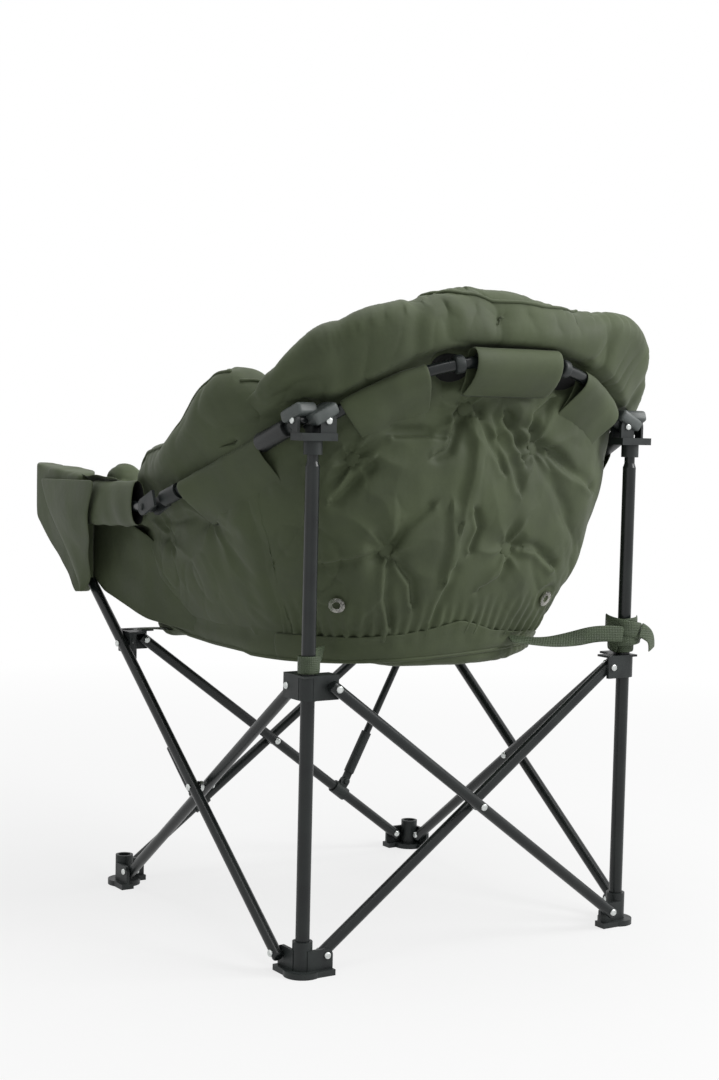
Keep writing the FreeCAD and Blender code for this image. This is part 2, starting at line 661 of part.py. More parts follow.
def round_section(degrees, pinch):
    """A slice of the round part of the wall, at an angle from the middle of the back."""
    angle = math.radians(degrees)
    outward = Vector(math.sin(angle), math.cos(angle), 0)
    fall = (1 - math.cos(angle)) / (1 - math.cos(math.radians(BACK_HALF_ANGLE)))
    bottom = outward * rounded_square(angle, BOWL_R, BOWL_R, BOWL_POWER) + Z_AXIS * BOWL_BOTTOM_Z
    rim = rounded_square(angle, RIM_HALF_WIDTH, RIM_BACK, RIM_POWER)
    top = outward * rim + Z_AXIS * (RIM_CENTRE_Z + (RIM_SIDE_Z - RIM_CENTRE_Z) * fall)
    return wall_section(bottom, top, -outward, pinch)


def outer_face_point(cushion, degrees, height):
    """Where a level ray from the bowl's axis leaves the cushion's outer face, and the ray's direction."""
    angle = math.radians(degrees)
    outward = Vector(math.sin(angle), math.cos(angle), 0)
    ray = Part.makeLine(Z_AXIS * height, outward * POST_SPACING + Z_AXIS * height)
    hits = [vertex.Point for vertex in cushion.common(ray).Vertexes]
    return max(hits, key=lambda point: point.dot(outward)), outward


def back_cushion():
    """The bucket's padded back: its lobes, the sewn channels between them, its rolled rim and its tufts."""
    channels = (-BACK_HALF_ANGLE, -BACK_CHANNEL_ANGLE, BACK_CHANNEL_ANGLE, BACK_HALF_ANGLE)
    sections = []
    for start, end in zip(channels, channels[1:]):
        for step in range(STEPS_PER_LOBE):
            pinch = (1 + math.cos(2 * math.pi * step / STEPS_PER_LOBE)) / 2
            sections.append(round_section(start + (end - start) * step / STEPS_PER_LOBE, pinch))
    sections.append(round_section(BACK_HALF_ANGLE, 1))
    cushion = Part.makeLoft(sections, True, False)
    for degrees, height in TUFTS:
        face, outward = outer_face_point(cushion, degrees, height)
        cushion = cushion.cut(Part.makeSphere(TUFT_R, face + outward * (TUFT_R - TUFT_DEPTH)))
    return cushion


def side_cushion():
    """The bucket's padded left side, from the back cushion forward to the arm's pocket."""
    sections = [round_section(BACK_HALF_ANGLE + math.degrees(CLOTH_GAP / BOWL_R), 1)]
    for y, bottom_x, rise, top_x, top_z in SIDE_STATIONS:
        bottom = Vector(bottom_x, y, BOWL_BOTTOM_Z + rise)
        sections.append(wall_section(bottom, Vector(top_x, y, top_z), -X_AXIS, 0))
    return Part.makeLoft(sections, True, False)


def seat_section(y, half_width, pinch):
    """A slice of the seat pad: crowned top, bulged edges and slack underside."""
    crown = (SEAT_CROWN_Z - SEAT_EDGE_Z) * (half_width / SEAT_HALF_WIDTH) ** SEAT_DOME_POWER
    top = SEAT_EDGE_Z + crown - SEAT_PINCH * pinch
    edge = SEAT_EDGE_Z - SEAT_PINCH * pinch / 2
    bottom = SEAT_BOTTOM_Z + SEAT_PINCH * pinch / 2
    left = [Vector(half_width, y, edge), Vector(half_width + SEAT_BULGE, y, (edge + bottom) / 2),
            Vector(half_width, y, bottom)]
    right = [Vector(-point.x, y, point.z) for point in reversed(left)]
    under = Part.Arc(left[2], Vector(0, y, bottom - SEAT_SAG), right[0]).toShape()
    over = Part.Arc(right[2], Vector(0, y, top), left[0]).toShape()
    edges = [Part.Arc(*left).toShape(), under, Part.Arc(*right).toShape(), over]
    return Part.Wire(edges)


def seat_cushion():
    """The seat pad: crowned, drawn in at its sewn channels, round at the back like the bowl above it."""
    sections = []
    for step in range(SEAT_STATIONS):
        y = SEAT_BACK - (SEAT_BACK + SEAT_FRONT) * (step / (SEAT_STATIONS - 1)) ** SEAT_SPREAD
        round_share = 1 - (max(y, 0) / SEAT_HALF_WIDTH) ** BOWL_POWER
        half_width = SEAT_HALF_WIDTH * round_share ** (1 / BOWL_POWER)
        sections.append(seat_section(y, half_width, (step + 1) % 2))
    return Part.makeLoft(sections, True, False, False, LOFT_DEGREE)


def arm_pocket():
    """The cloth pocket over the left arm's tip, hollow round the two tubes that meet in it."""
    rear, front = arm_axes()
    inside = OUTER - LEG_R - POCKET_MARGIN
    corners = []
    for y, z in POCKET_OUTLINE:
        corners.append(Vector(inside, y, z))
    outside = []
    for corner in corners:
        arm = ARM_END + front * ((corner.y - ARM_END.y) / front.y)
        outside.append(Vector(arm.x + HOOP_R + POCKET_MARGIN, corner.y, corner.z))
    outlines = [Part.makePolygon(points + points[:1]) for points in (corners, outside)]
    pouch = Part.makeLoft(outlines, True, True)
    pouch = pouch.makeFillet(POCKET_ROUND, pouch.Edges)
    down = unit(side_hub_pivot(1, -1, OUTER) - LEFT_TIP)
    end = LEG_OVERHANG + CLOTH_GAP
    leg_room = rod(LEFT_TIP - down * end, LEFT_TIP + down * ARM_TIP_REACH / 2, LEG_R + CLOTH_GAP)
    arm_room = rod(ARM_END + front * end, KNUCKLE, HOOP_R + CLOTH_GAP)
    return pouch.cut(fuse(leg_room, arm_room))


def back_sleeve():
    """The cloth sleeve on the left back tube."""
    arc = hoop_arc()
    first = arc.FirstParameter
    span = arc.LastParameter - first
    piece = arc.Curve.toShape(first + SLEEVE_START * span, first + SLEEVE_END * span)
    start, direction = tangent_at(piece, 0)
    outside = ring_sweep([piece], start, direction, HOOP_R + CLOTH_GAP + SLEEVE_T)
    return outside.cut(ring_sweep([piece], start, direction, HOOP_R + CLOTH_GAP))


def centre_flap():
    """The cloth flap that wraps the hoop's centre hinge, with its sewn tail in front of the hinge."""
    half = X_AXIS * FLAP_HALF_LENGTH
    room = FITTING_R + FLAP_SLACK
    outside = rod(HOOP_CENTRE - half, HOOP_CENTRE + half, room + SLEEVE_T)
    front = HOOP_CENTRE.y - room
    tail = block((-FLAP_HALF_LENGTH, front - SLEEVE_T, HOOP_CENTRE_Z),
                 (FLAP_HALF_LENGTH, front, HOOP_CENTRE_Z - FLAP_TAIL))
    return fuse(outside, tail).cut(rod(HOOP_CENTRE - half, HOOP_CENTRE + half, room))


def cloth_distance(cushion, start, along):
    """How far along a ray from start a cushion's face lies."""
    ray = Part.makeLine(start, start + along * POST_SPACING)
    return min((vertex.Point - start).Length for vertex in cushion.common(ray).Vertexes)


def webbing(start, end, across, height):
    """A flat strip between two points, as wide as across, with the given height."""
    corners = [start + across, end + across, end - across, start - across]
    return Part.Face(Part.makePolygon(corners + corners[:1])).extrude(Z_AXIS * height)


def rear_strap(side_x, seat):
    """A webbing tie from a loop round a rear upright to the seat pad's edge."""
    post = corner_point(side_x, 1, 0, 0, HUB_TOP_Z + SIDE_GAP)
    loop_r = UPRIGHT_R + STRAP_LOOP_GAP
    loop = rod(post, post + Z_AXIS * STRAP_W, loop_r + STRAP_T)
    along = unit(Vector(0, STRAP_AIM, post.z) - post)
    levels = (post, post + Z_AXIS * (STRAP_W / 2))
    reach = min(cloth_distance(seat, level, along) for level in levels) - CLOTH_GAP
    across = Vector(-along.y, along.x, 0) * (STRAP_T / 2)
    tail = webbing(post + along * (loop_r + STRAP_T / 2), post + along * reach, across, STRAP_W)
    bore = rod(post - Z_AXIS * STRAP_W, post + Z_AXIS * STRAP_W * 2, loop_r)
    return fuse(loop, tail).cut(bore)


def front_strap(side_x, seat):
    """A flat webbing tab from a front hub's flange to the seat pad's edge."""
    post = corner_point(side_x, -1, 0, 0, HUB_TOP_Z + SIDE_GAP)
    along = unit(Vector(0, -STRAP_AIM, post.z) - post)
    across = Vector(-along.y, along.x, 0) * (STRAP_W / 2)
    levels = (post + across, post, post - across)
    lift = Z_AXIS * STRAP_T
    reach = min(cloth_distance(seat, level + lift, along) for level in levels) - CLOTH_GAP
    return webbing(post + along * HUB_R, post + along * reach, across, STRAP_T)


def eyelets(cushion):
    """Two drain eyelets on the back cushion's outer face, each seated where a ray meets the cloth."""
    rings = []
    for degrees in EYELET_ANGLES:
        far, outward = outer_face_point(cushion, degrees, EYELET_Z)
        above, outward = outer_face_point(cushion, degrees, EYELET_Z + EYELET_R)
        beside, outward = outer_face_point(cushion, degrees + math.degrees(EYELET_R / BOWL_R), EYELET_Z)
        tilt = unit((above - far).cross(beside - far))
        seat = far + tilt * CLOTH_GAP
        ring = rod(seat, seat + tilt * EYELET_T, EYELET_R)
        rings.append(ring.cut(rod(seat - tilt, seat + tilt * EYELET_T * 2, EYELET_HOLE_R)))
    return Part.makeCompound(rings)


def build():
    parts = {}
    corners = {"rear_left": (1, 1), "rear_right": (-1, 1), "front_left": (1, -1), "front_right": (-1, -1)}
    strut_layers = {"front_left": -OUTER, "front_right": -INNER}
    seat = seat_cushion()
    for name, (side_x, side_y) in corners.items():
        parts[name + "_foot"] = foot(side_x, side_y)
        parts[name + "_hub"] = hub(side_x, side_y, strut_layers.get(name))
        parts[name + "_strap"] = rear_strap(side_x, seat) if side_y > 0 else front_strap(side_x, seat)

    long_pivots = (side_foot_pivot(1, 1, OUTER), side_hub_pivot(1, -1, OUTER))
    long_tube, long_rivets = outer_leg(*long_pivots, LEFT_TIP, X_AXIS, 1)
    short_pivots = (side_foot_pivot(1, -1, INNER), side_hub_pivot(1, 1, INNER))
    short_tube, short_rivets = inner_leg(*short_pivots, X_AXIS, 1)
    hinge_halves = {"left": 1, "right": -1}
    left_side = {
        "long_leg": long_tube,
        "long_leg_rivets": long_rivets,
        "short_leg": short_tube,
        "short_leg_rivets": short_rivets,
        "back_tube": back_tube(),
        "arm_rear_tube": arm_rear_tube(),
        "knuckle": knuckle(),
        "arm_front_tube": arm_front_tube(),
        "side_cushion": side_cushion(),
        "arm_pocket": arm_pocket(),
        "back_sleeve": back_sleeve(),
    }
    for name, shape in left_side.items():
        parts["left_" + name] = shape
        parts["right_" + name] = mirrored(shape)
    parts["left_centre_fitting"] = centre_fitting(hinge_halves["left"])
    parts["right_centre_fitting"] = mirrored(centre_fitting(hinge_halves["right"]))
    parts["rear_left_upright"] = upright(1)
    parts["rear_right_upright"] = upright(-1)
    parts["rear_left_bracket"] = hoop_bracket()
    parts["rear_right_bracket"] = mirrored(parts["rear_left_bracket"])
    parts["rear_left_bracket_rivets"] = bracket_rivets()
    parts["rear_right_bracket_rivets"] = mirrored(parts["rear_left_bracket_rivets"])

    # The outer back leg leans to the right foot, and the outer front leg to the left foot.
    for name, side_y, outer_foot in (("back", 1, -1), ("front", -1, 1)):
        high = end_hub_pivot(-outer_foot, side_y, OUTER)
        outer = outer_leg(end_foot_pivot(outer_foot, side_y, OUTER), high, high, Y_AXIS, side_y)
        low = end_foot_pivot(-outer_foot, side_y, INNER)
        inner = inner_leg(low, end_hub_pivot(outer_foot, side_y, INNER), Y_AXIS, side_y)
        parts[name + "_outer_leg"], parts[name + "_outer_leg_rivets"] = outer
        parts[name + "_inner_leg"], parts[name + "_inner_leg_rivets"] = inner

    for name, side_x, strut_y in (("left", 1, -OUTER), ("right", -1, -INNER)):
        parts[name + "_collar"] = collar(side_x, strut_y)
        parts[name + "_strut_sleeve"] = strut_sleeve(side_x, strut_y)
        parts[name + "_strut_rod"] = strut_rod(side_x, strut_y)

    parts["back_cushion"] = back_cushion()
    parts["seat_cushion"] = seat
    parts["centre_flap"] = centre_flap()
    parts["eyelets"] = eyelets(parts["back_cushion"])
    return parts


def origin_shift(parts):
    """The move that brings the middle of the whole chair's footprint box to the origin."""
    box = FreeCAD.BoundBox()
    for shape in parts.values():
        box.add(shape.BoundBox)
    return Vector(0, -(box.YMin + box.YMax) / 2, 0)


def main():
    os.makedirs("parts", exist_ok=True)
    parts = build()
    shift = origin_shift(parts)
    for name, shape in parts.items():
        shape.translate(shift)
        shape.exportStep("parts/" + name + ".step")
        print(name, len(shape.Solids), "solids", round(shape.Volume), shape.isValid())
    print(len(parts), "nodes, origin shift", round(shift.y, 4))


if __name__ == "__main__":
    main()
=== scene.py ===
# %% [markdown]
# # Camping bucket chair
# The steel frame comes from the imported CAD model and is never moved. Blender adds what CAD leaves
# plain: the padded cloth bucket, its sleeves, pockets and webbing, and a finish for every surface.
# Loading the frame first means that every new piece is placed by the same numbers as the steel.

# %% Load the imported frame
import json
import math
import bpy
import bmesh
from mathutils import Matrix, Vector, noise

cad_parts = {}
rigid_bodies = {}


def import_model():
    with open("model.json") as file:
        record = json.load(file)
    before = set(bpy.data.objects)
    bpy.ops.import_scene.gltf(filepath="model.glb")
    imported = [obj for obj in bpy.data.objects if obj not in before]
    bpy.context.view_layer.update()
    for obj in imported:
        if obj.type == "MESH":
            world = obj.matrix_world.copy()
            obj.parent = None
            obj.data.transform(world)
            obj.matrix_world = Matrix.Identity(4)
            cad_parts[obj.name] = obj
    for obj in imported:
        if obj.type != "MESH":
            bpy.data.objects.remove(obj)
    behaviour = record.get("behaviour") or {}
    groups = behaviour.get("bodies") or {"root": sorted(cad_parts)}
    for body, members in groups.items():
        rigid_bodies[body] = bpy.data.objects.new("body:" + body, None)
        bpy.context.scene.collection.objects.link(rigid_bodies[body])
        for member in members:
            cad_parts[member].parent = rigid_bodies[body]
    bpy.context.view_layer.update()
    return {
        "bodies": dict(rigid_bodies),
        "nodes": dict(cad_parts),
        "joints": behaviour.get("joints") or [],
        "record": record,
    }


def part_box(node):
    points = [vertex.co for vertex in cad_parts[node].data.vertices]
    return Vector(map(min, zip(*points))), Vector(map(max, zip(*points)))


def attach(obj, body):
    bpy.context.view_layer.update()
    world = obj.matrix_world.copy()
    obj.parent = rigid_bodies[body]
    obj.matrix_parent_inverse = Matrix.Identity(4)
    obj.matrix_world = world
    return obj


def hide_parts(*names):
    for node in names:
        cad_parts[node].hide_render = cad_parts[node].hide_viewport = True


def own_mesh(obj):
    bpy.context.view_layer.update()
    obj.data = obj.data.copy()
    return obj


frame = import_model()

NODES = frame["nodes"]
MM = 0.001

# %% [markdown]
# The chair is easiest to measure from the middle of its four posts, so points below are written in
# millimetres from there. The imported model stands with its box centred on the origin, and the left
# rear upright tells how far apart the two origins are.

# %% Footprint to frame
POST_HALF = 270.0
post_low, post_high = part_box("rear_left_upright")
ROW_SHIFT = (post_low.y + post_high.y) / 2 - POST_HALF * MM


def at(x, y, z):
    """A point in the frame, from millimetres measured from the middle of the four posts."""
    return Vector((x * MM, y * MM + ROW_SHIFT, z * MM))


print("shift along Y in metres:", round(ROW_SHIFT, 5))

# %% [markdown]
# The photograph was taken from behind the sitter's left shoulder, a little above the rim. Its
# camera was worked out from the feet, hubs and brackets, so the picture can be laid over the
# render. The camera's three axes are written straight into its matrix.

# %% Camera
CAMERA_AT = at(1521.0, 2318.6, 743.7)
CAMERA_AZIMUTH, CAMERA_ELEVATION, CAMERA_ROLL = map(math.radians, (147.0838, 3.9427, 1.3318))
FOCAL_PX, FRAME_H_PX, SENSOR_MM = 1848.97, 1080, 36.0

level = math.cos(CAMERA_ELEVATION)
cam_back = Vector((math.sin(CAMERA_AZIMUTH) * level, -math.cos(CAMERA_AZIMUTH) * level,
                   math.sin(CAMERA_ELEVATION)))
cam_right = (-cam_back).cross(Vector((0, 0, 1))).normalized()
cam_up = cam_right.cross(-cam_back)
cam_x = cam_right * math.cos(CAMERA_ROLL) + cam_up * math.sin(CAMERA_ROLL)
cam_y = cam_up * math.cos(CAMERA_ROLL) - cam_right * math.sin(CAMERA_ROLL)
camera = bpy.data.objects.new("camera", bpy.data.cameras.new("camera"))
camera.data.sensor_fit = "VERTICAL"
camera.data.sensor_height = camera.data.sensor_width = SENSOR_MM
camera.data.lens = FOCAL_PX / FRAME_H_PX * SENSOR_MM
cam_turn = Matrix((cam_x, cam_y, cam_back)).transposed().to_4x4()
camera.matrix_world = Matrix.Translation(CAMERA_AT) @ cam_turn
bpy.context.collection.objects.link(camera)
bpy.context.scene.camera = camera
print("lens in mm:", round(camera.data.lens, 2))

# %% [markdown]
# Colours are written as they look on a screen, in sRGB hex, and shaders want linear light, so one
# function converts them. One more function adds a node, sets it and links it, which keeps each
# material below to a short list of what it is made of.

# %% Colour and node helpers


def linear(code):
    """An sRGB hex colour as linear RGBA."""
    parts = [int(code[i:i + 2], 16) / 255 for i in (1, 3, 5)]
    return [c / 12.92 if c <= 0.04045 else ((c + 0.055) / 1.055) ** 2.4 for c in parts] + [1.0]


def add(tree, kind, values=(), **settings):
    """Add a node; values set its input sockets or link them, and settings are its properties."""
    new = tree.nodes.new("ShaderNode" + kind)
    for socket, value in dict(values).items():
        if isinstance(value, bpy.types.NodeSocket):
            tree.links.new(value, new.inputs[socket])
        else:
            new.inputs[socket].default_value = value
    for key, value in settings.items():
        setattr(new, key, value)
    return new


# Blender's wave texture turns its place into an angle with this factor.
WAVE_RATE = 20


def wave_scale(spacing_mm):
    """Scale of a wave texture whose bands are that far apart."""
    return 2 * math.pi / (WAVE_RATE * spacing_mm * MM)


def grain_scale(size_mm):
    """Scale of a noise texture whose grains are about that large."""
    return 1 / (size_mm * MM)


PATCH_STOPS, ROUGH_FROM = (0.36, 0.64), (0.3, 0.7)


def finish_material(name, colours, patch_mm, rough, bumps, sockets=()):
    """A surface with two mixed colours, two mixed roughnesses and layered bumps.
    Each bump is (texture node maker, strength, depth in mm)."""
    material = bpy.data.materials.new(name)
    material.use_nodes = True
    tree = material.node_tree
    shader = tree.nodes["Principled BSDF"]
    place = add(tree, "TexCoord").outputs["Object"]
    patches = add(tree, "TexNoise", {"Vector": place, "Scale": grain_scale(patch_mm), "Detail": 4.0})
    ramp = add(tree, "ValToRGB", {"Fac": patches.outputs["Fac"]})
    for stop, place_on_ramp, colour in zip(ramp.color_ramp.elements, PATCH_STOPS, colours):
        stop.position, stop.color = place_on_ramp, linear(colour)
    tree.links.new(ramp.outputs["Color"], shader.inputs["Base Color"])
    spread = add(tree, "MapRange", {"Value": patches.outputs["Fac"], "From Min": ROUGH_FROM[0],
                                    "From Max": ROUGH_FROM[1], "To Min": rough[0], "To Max": rough[1]})
    tree.links.new(spread.outputs["Result"], shader.inputs["Roughness"])
    normal = None
    for pattern, strength, depth_mm in bumps:
        values = {"Height": pattern(tree, place), "Strength": strength, "Distance": depth_mm * MM}
        if normal:
            values["Normal"] = normal
        normal = add(tree, "Bump", values).outputs["Normal"]
    if normal:
        tree.links.new(normal, shader.inputs["Normal"])
    for socket, value in dict(sockets).items():
        shader.inputs[socket].default_value = value
    return material

# %% [markdown]
# The photograph is a studio shot on white. A large floor takes the soft shadow, and camera rays
# see it, and the world behind it, as nearly white without any more light falling on the chair.
# Metal would look black with nothing to mirror, so glossy rays see the white as well. The floor
# turns whiter with distance, which hides the horizon.

# %% Floor, world and lamps
FLOOR_HALF, PAPER_GRAIN_MM = 14.0, 60
SKY_STRENGTH = 0.30
FADE_NEAR_M, FADE_FAR_M, FADE_LEAST = 0.5, 2.6, 0.76
WHITE = linear("#ffffff")
bpy.context.scene.view_settings.view_transform = "Standard"


def seen_rays(tree):
    """A factor of 1 for camera, glossy and transmission rays, 0 for the rays that carry light."""
    rays = add(tree, "LightPath").outputs
    first = add(tree, "Math", {0: rays["Is Camera Ray"], 1: rays["Is Glossy Ray"]}, operation="MAXIMUM")
    both = {0: first.outputs[0], 1: rays["Is Transmission Ray"]}
    return add(tree, "Math", both, operation="MAXIMUM").outputs[0]


world = bpy.data.worlds.new("studio")
bpy.context.scene.world = world
world.use_nodes = True
sky = world.node_tree
sky_light = sky.nodes["Background"]
sky_light.inputs["Color"].default_value = linear("#f4f6f8")
sky_light.inputs["Strength"].default_value = SKY_STRENGTH
sky_seen = add(sky, "Background", {"Color": WHITE, "Strength": 1.0})
sky_mix = add(sky, "MixShader", {0: seen_rays(sky), 1: sky_light.outputs[0], 2: sky_seen.outputs[0]})
sky.links.new(sky_mix.outputs[0], sky.nodes["World Output"].inputs["Surface"])

paper = bpy.data.materials.new("white_studio_paper")
paper.use_nodes = True
roll = paper.node_tree
paper_matt = roll.nodes["Principled BSDF"]
paper_matt.inputs["Roughness"].default_value = 0.9
paper_place = add(roll, "TexCoord").outputs["Object"]
paper_grain = add(roll, "TexNoise", {"Vector": paper_place, "Scale": grain_scale(PAPER_GRAIN_MM)})
paper_tone = add(roll, "ValToRGB", {"Fac": paper_grain.outputs["Fac"]})
paper_tone.color_ramp.elements[0].color = linear("#e6e6e5")
paper_tone.color_ramp.elements[1].color = linear("#eaeae9")
roll.links.new(paper_tone.outputs["Color"], paper_matt.inputs["Base Color"])
paper_glow = add(roll, "Emission", {"Color": WHITE, "Strength": 1.0})
paper_far = add(roll, "VectorMath", {0: paper_place}, operation="LENGTH")
paper_fade = add(roll, "MapRange", {"Value": paper_far.outputs["Value"], "From Min": FADE_NEAR_M,
                                    "From Max": FADE_FAR_M, "To Min": FADE_LEAST, "To Max": 1.0})
paper_share = add(roll, "Math", {0: seen_rays(roll), 1: paper_fade.outputs[0]}, operation="MULTIPLY")
paper_sides = {0: paper_share.outputs[0], 1: paper_matt.outputs[0], 2: paper_glow.outputs[0]}
paper_mix = add(roll, "MixShader", paper_sides)
roll.links.new(paper_mix.outputs[0], roll.nodes["Material Output"].inputs["Surface"])

floor_shape = bmesh.new()
bmesh.ops.create_grid(floor_shape, x_segments=2, y_segments=2, size=FLOOR_HALF)
floor = bpy.data.objects.new("floor", bpy.data.meshes.new("floor"))
floor_shape.to_mesh(floor.data)
floor_shape.free()
floor.data.materials.append(paper)
bpy.context.collection.objects.link(floor)

LAMPS = {"key": ((-2.1, 2.0, 2.2), 1.4, 72), "top": ((0.0, 0.3, 3.0), 2.2, 38),
         "fill": ((2.4, 1.6, 1.0), 2.4, 4)}
LAMPS_AIM = Vector((0, 0.1, 0.5))
for name, (place, size, watts) in LAMPS.items():
    lamp = bpy.data.objects.new(name, bpy.data.lights.new(name, "AREA"))
    lamp.data.size, lamp.data.energy = size, watts
    lamp.location = place
    lamp.rotation_euler = (LAMPS_AIM - lamp.location).to_track_quat("-Z", "Y").to_euler()
    bpy.context.collection.objects.link(lamp)
print("stage ready with", len(LAMPS), "lamps")

# %% [markdown]
# Each finish below starts from what the real material is. Cloth has threads, slack creases and a
# little sheen from its fibres. Powder coat has the fine orange peel of melted paint, moulded nylon
# a sparked grain, and plated rivets a clean bright face. Pattern sizes are real millimetres.

# %% Patterns that the finishes share


def threads(tree, place, spacing_mm):
    """Crossing threads. Real canvas has about 0.5 mm between threads, too fine to show here."""
    turned = add(tree, "Mapping", {"Vector": place, "Rotation": (0, 0, math.radians(33))})
    weft = add(tree, "TexWave", {"Vector": place, "Scale": wave_scale(spacing_mm)}, bands_direction="Z")
    warp = add(tree, "TexWave", {"Vector": turned.outputs[0], "Scale": wave_scale(spacing_mm)},
               bands_direction="X")
    return add(tree, "Math", {0: weft.outputs["Fac"], 1: warp.outputs["Fac"]}, operation="ADD").outputs[0]


def canvas_threads(tree, place):
    return threads(tree, place, 1.6)


def webbing_ribs(tree, place):
    return threads(tree, place, 2.4)


def grains(size_mm, detail=2.0):
    """A bump of soft grains of one size."""
    def pattern(tree, place):
        values = {"Vector": place, "Scale": grain_scale(size_mm), "Detail": detail}
        return add(tree, "TexNoise", values).outputs["Fac"]
    return pattern

# %% Finishes
FIBRE = {"Sheen Weight": 0.06, "Sheen Roughness": 0.5, "Specular IOR Level": 0.3}
METAL = {"Metallic": 1.0}
# Polyester canvas, woven and coated: olive, matt with a faint fibre sheen, slightly uneven dye.
canvas = finish_material("polyester_canvas", ("#434b35", "#4d563d"), 70, (0.60, 0.74),
                         [(grains(26, 3.0), 0.35, 2.2), (canvas_threads, 0.10, 0.5)],
                         FIBRE)
# The lining inside the bucket is the same canvas, cleaner and a little lighter.
lining = finish_material("polyester_lining", ("#4f5940", "#59634a"), 70, (0.62, 0.76),
                         [(grains(30, 3.0), 0.3, 2.0), (canvas_threads, 0.10, 0.5)],
                         FIBRE)
# Polypropylene webbing, woven in ribs: a bluer green, with a dull waxy gleam on each rib.
webbing = finish_material("polypropylene_webbing", ("#3f4a36", "#4a5640"), 12, (0.5, 0.62),
                          [(webbing_ribs, 0.5, 0.9)], {"Specular IOR Level": 0.4})
# Powder-coated steel tube: satin charcoal with the orange peel of melted powder and rubbed spots.
powder_coat = finish_material("powder_coated_steel", ("#15191a", "#1e2322"), 45, (0.26, 0.36),
                              [(grains(1.6), 0.06, 0.3)],
                              {"Specular IOR Level": 0.3, "Coat Weight": 0.1, "Coat Roughness": 0.2})
# Moulded nylon: charcoal, spark-eroded grain, flatter than the tube.
SPARKED = [(grains(0.9), 0.18, 0.25)]
nylon = finish_material("moulded_nylon", ("#1d2121", "#272c2b"), 18, (0.42, 0.56), SPARKED,
                        {"Specular IOR Level": 0.35})
# The caps on the brackets are a paler grey nylon with the same grain.
grey_nylon = finish_material("grey_moulded_nylon", ("#474d4b", "#535957"), 18, (0.4, 0.52), SPARKED)
# Zinc-plated steel rivets: bright, faintly scuffed.
zinc = finish_material("zinc_plated_steel", ("#b9bdbb", "#d3d6d4"), 3, (0.22, 0.4),
                       [(grains(0.7), 0.08, 0.1)], METAL)
# Nickel-plated brass eyelets: the brightest metal on the chair.
nickel = finish_material("nickel_plated_brass", ("#cfcdc6", "#e2e0da"), 4, (0.14, 0.26),
                         [(grains(0.9), 0.05, 0.1)], METAL)
# Soft PVC dip on the arm tubes' ends: near black, with a broad dull gleam.
vinyl = finish_material("dipped_pvc", ("#191b1b", "#232626"), 14, (0.38, 0.5), [(grains(1.2), 0.1, 0.2)])
# The back of the canvas has a black polyurethane coating, dull and nearly without light, which lines
# the arm sleeves; the same near black is painted shade in the two cut-outs.
coating_and_painted_shade = finish_material("black_pu_coating", ("#080908", "#101110"), 8, (0.8, 0.9), [(grains(3), 0.3, 0.4)])
print("finishes:", [m.name for m in bpy.data.materials])

# %% [markdown]
# The steel and the mouldings are right as CAD made them, so they keep their meshes and only take a
# finish. Their names say what they are, which is enough to sort them.

# %% Dress the frame
FINISH_BY_WORD = (("rivets", zinc), ("tube", powder_coat), ("leg", powder_coat), ("upright", powder_coat),
                  ("strut_rod", powder_coat), ("strut_sleeve", nylon), ("foot", nylon), ("hub", nylon),
                  ("bracket", nylon), ("knuckle", nylon), ("collar", nylon), ("fitting", nylon))
dressed = 0
for name, node in NODES.items():
    for word, material in FINISH_BY_WORD:
        if word in name:
            node.data.materials.clear()
            node.data.materials.append(material)
            dressed += 1
            break
print("frame nodes dressed:", dressed)

# %% [markdown]
# The bucket is padded: two layers of canvas with wadding between, sewn through at a few points.
# Each cushion starts from a copy of its plain CAD solid, drawn in a little, because the cloth
# simulation then blows it up again. A voxel remesh gives the simulation even squares, and the
# points that are sewn on the real chair are pinned, so the padding swells between them.

# %% Pad helpers
from mathutils.bvhtree import BVHTree

VOXEL_MM, FINE_VOXEL_MM = 6.0, 5.0
SIM_FRAMES, SIM_QUALITY, PAD_PRESSURE = 20, 4, 4.0
LINING_FACING = -0.25


def new_object(name, shape, material):
    """A linked object from a bmesh or a mesh, smooth shaded, with one material."""
    mesh = shape
    if isinstance(shape, bmesh.types.BMesh):
        mesh = bpy.data.meshes.new(name)
        shape.to_mesh(mesh)
        shape.free()
    made = bpy.data.objects.new(name, mesh)
    bpy.context.collection.objects.link(made)
    mesh.materials.clear()
    mesh.materials.append(material)
    mesh.polygons.foreach_set("use_smooth", [True] * len(mesh.polygons))
    return made


def apply_modifiers(piece):
    """Swap the piece's mesh for what its modifiers make of it."""
    graph = bpy.context.evaluated_depsgraph_get()
    shaped = bpy.data.meshes.new_from_object(piece.evaluated_get(graph))
    piece.modifiers.clear()
    piece.data = shaped
    shaped.polygons.foreach_set("use_smooth", [True] * len(shaped.polygons))


def pad_start(name, node, inset_mm, material, voxel_mm=VOXEL_MM):
    """An even grid over a merged, slightly smaller copy of a CAD pad."""
    shape = bmesh.new()
    shape.from_mesh(NODES[node].data)
    bmesh.ops.remove_doubles(shape, verts=shape.verts, dist=1e-5)
    shape.normal_update()
    for vert in shape.verts:
        vert.co -= vert.normal * inset_mm * MM
    pad = new_object(name, shape, material)
    grid = pad.modifiers.new("even_grid", "REMESH")
    grid.mode, grid.voxel_size = "VOXEL", voxel_mm * MM
    apply_modifiers(pad)
    return pad


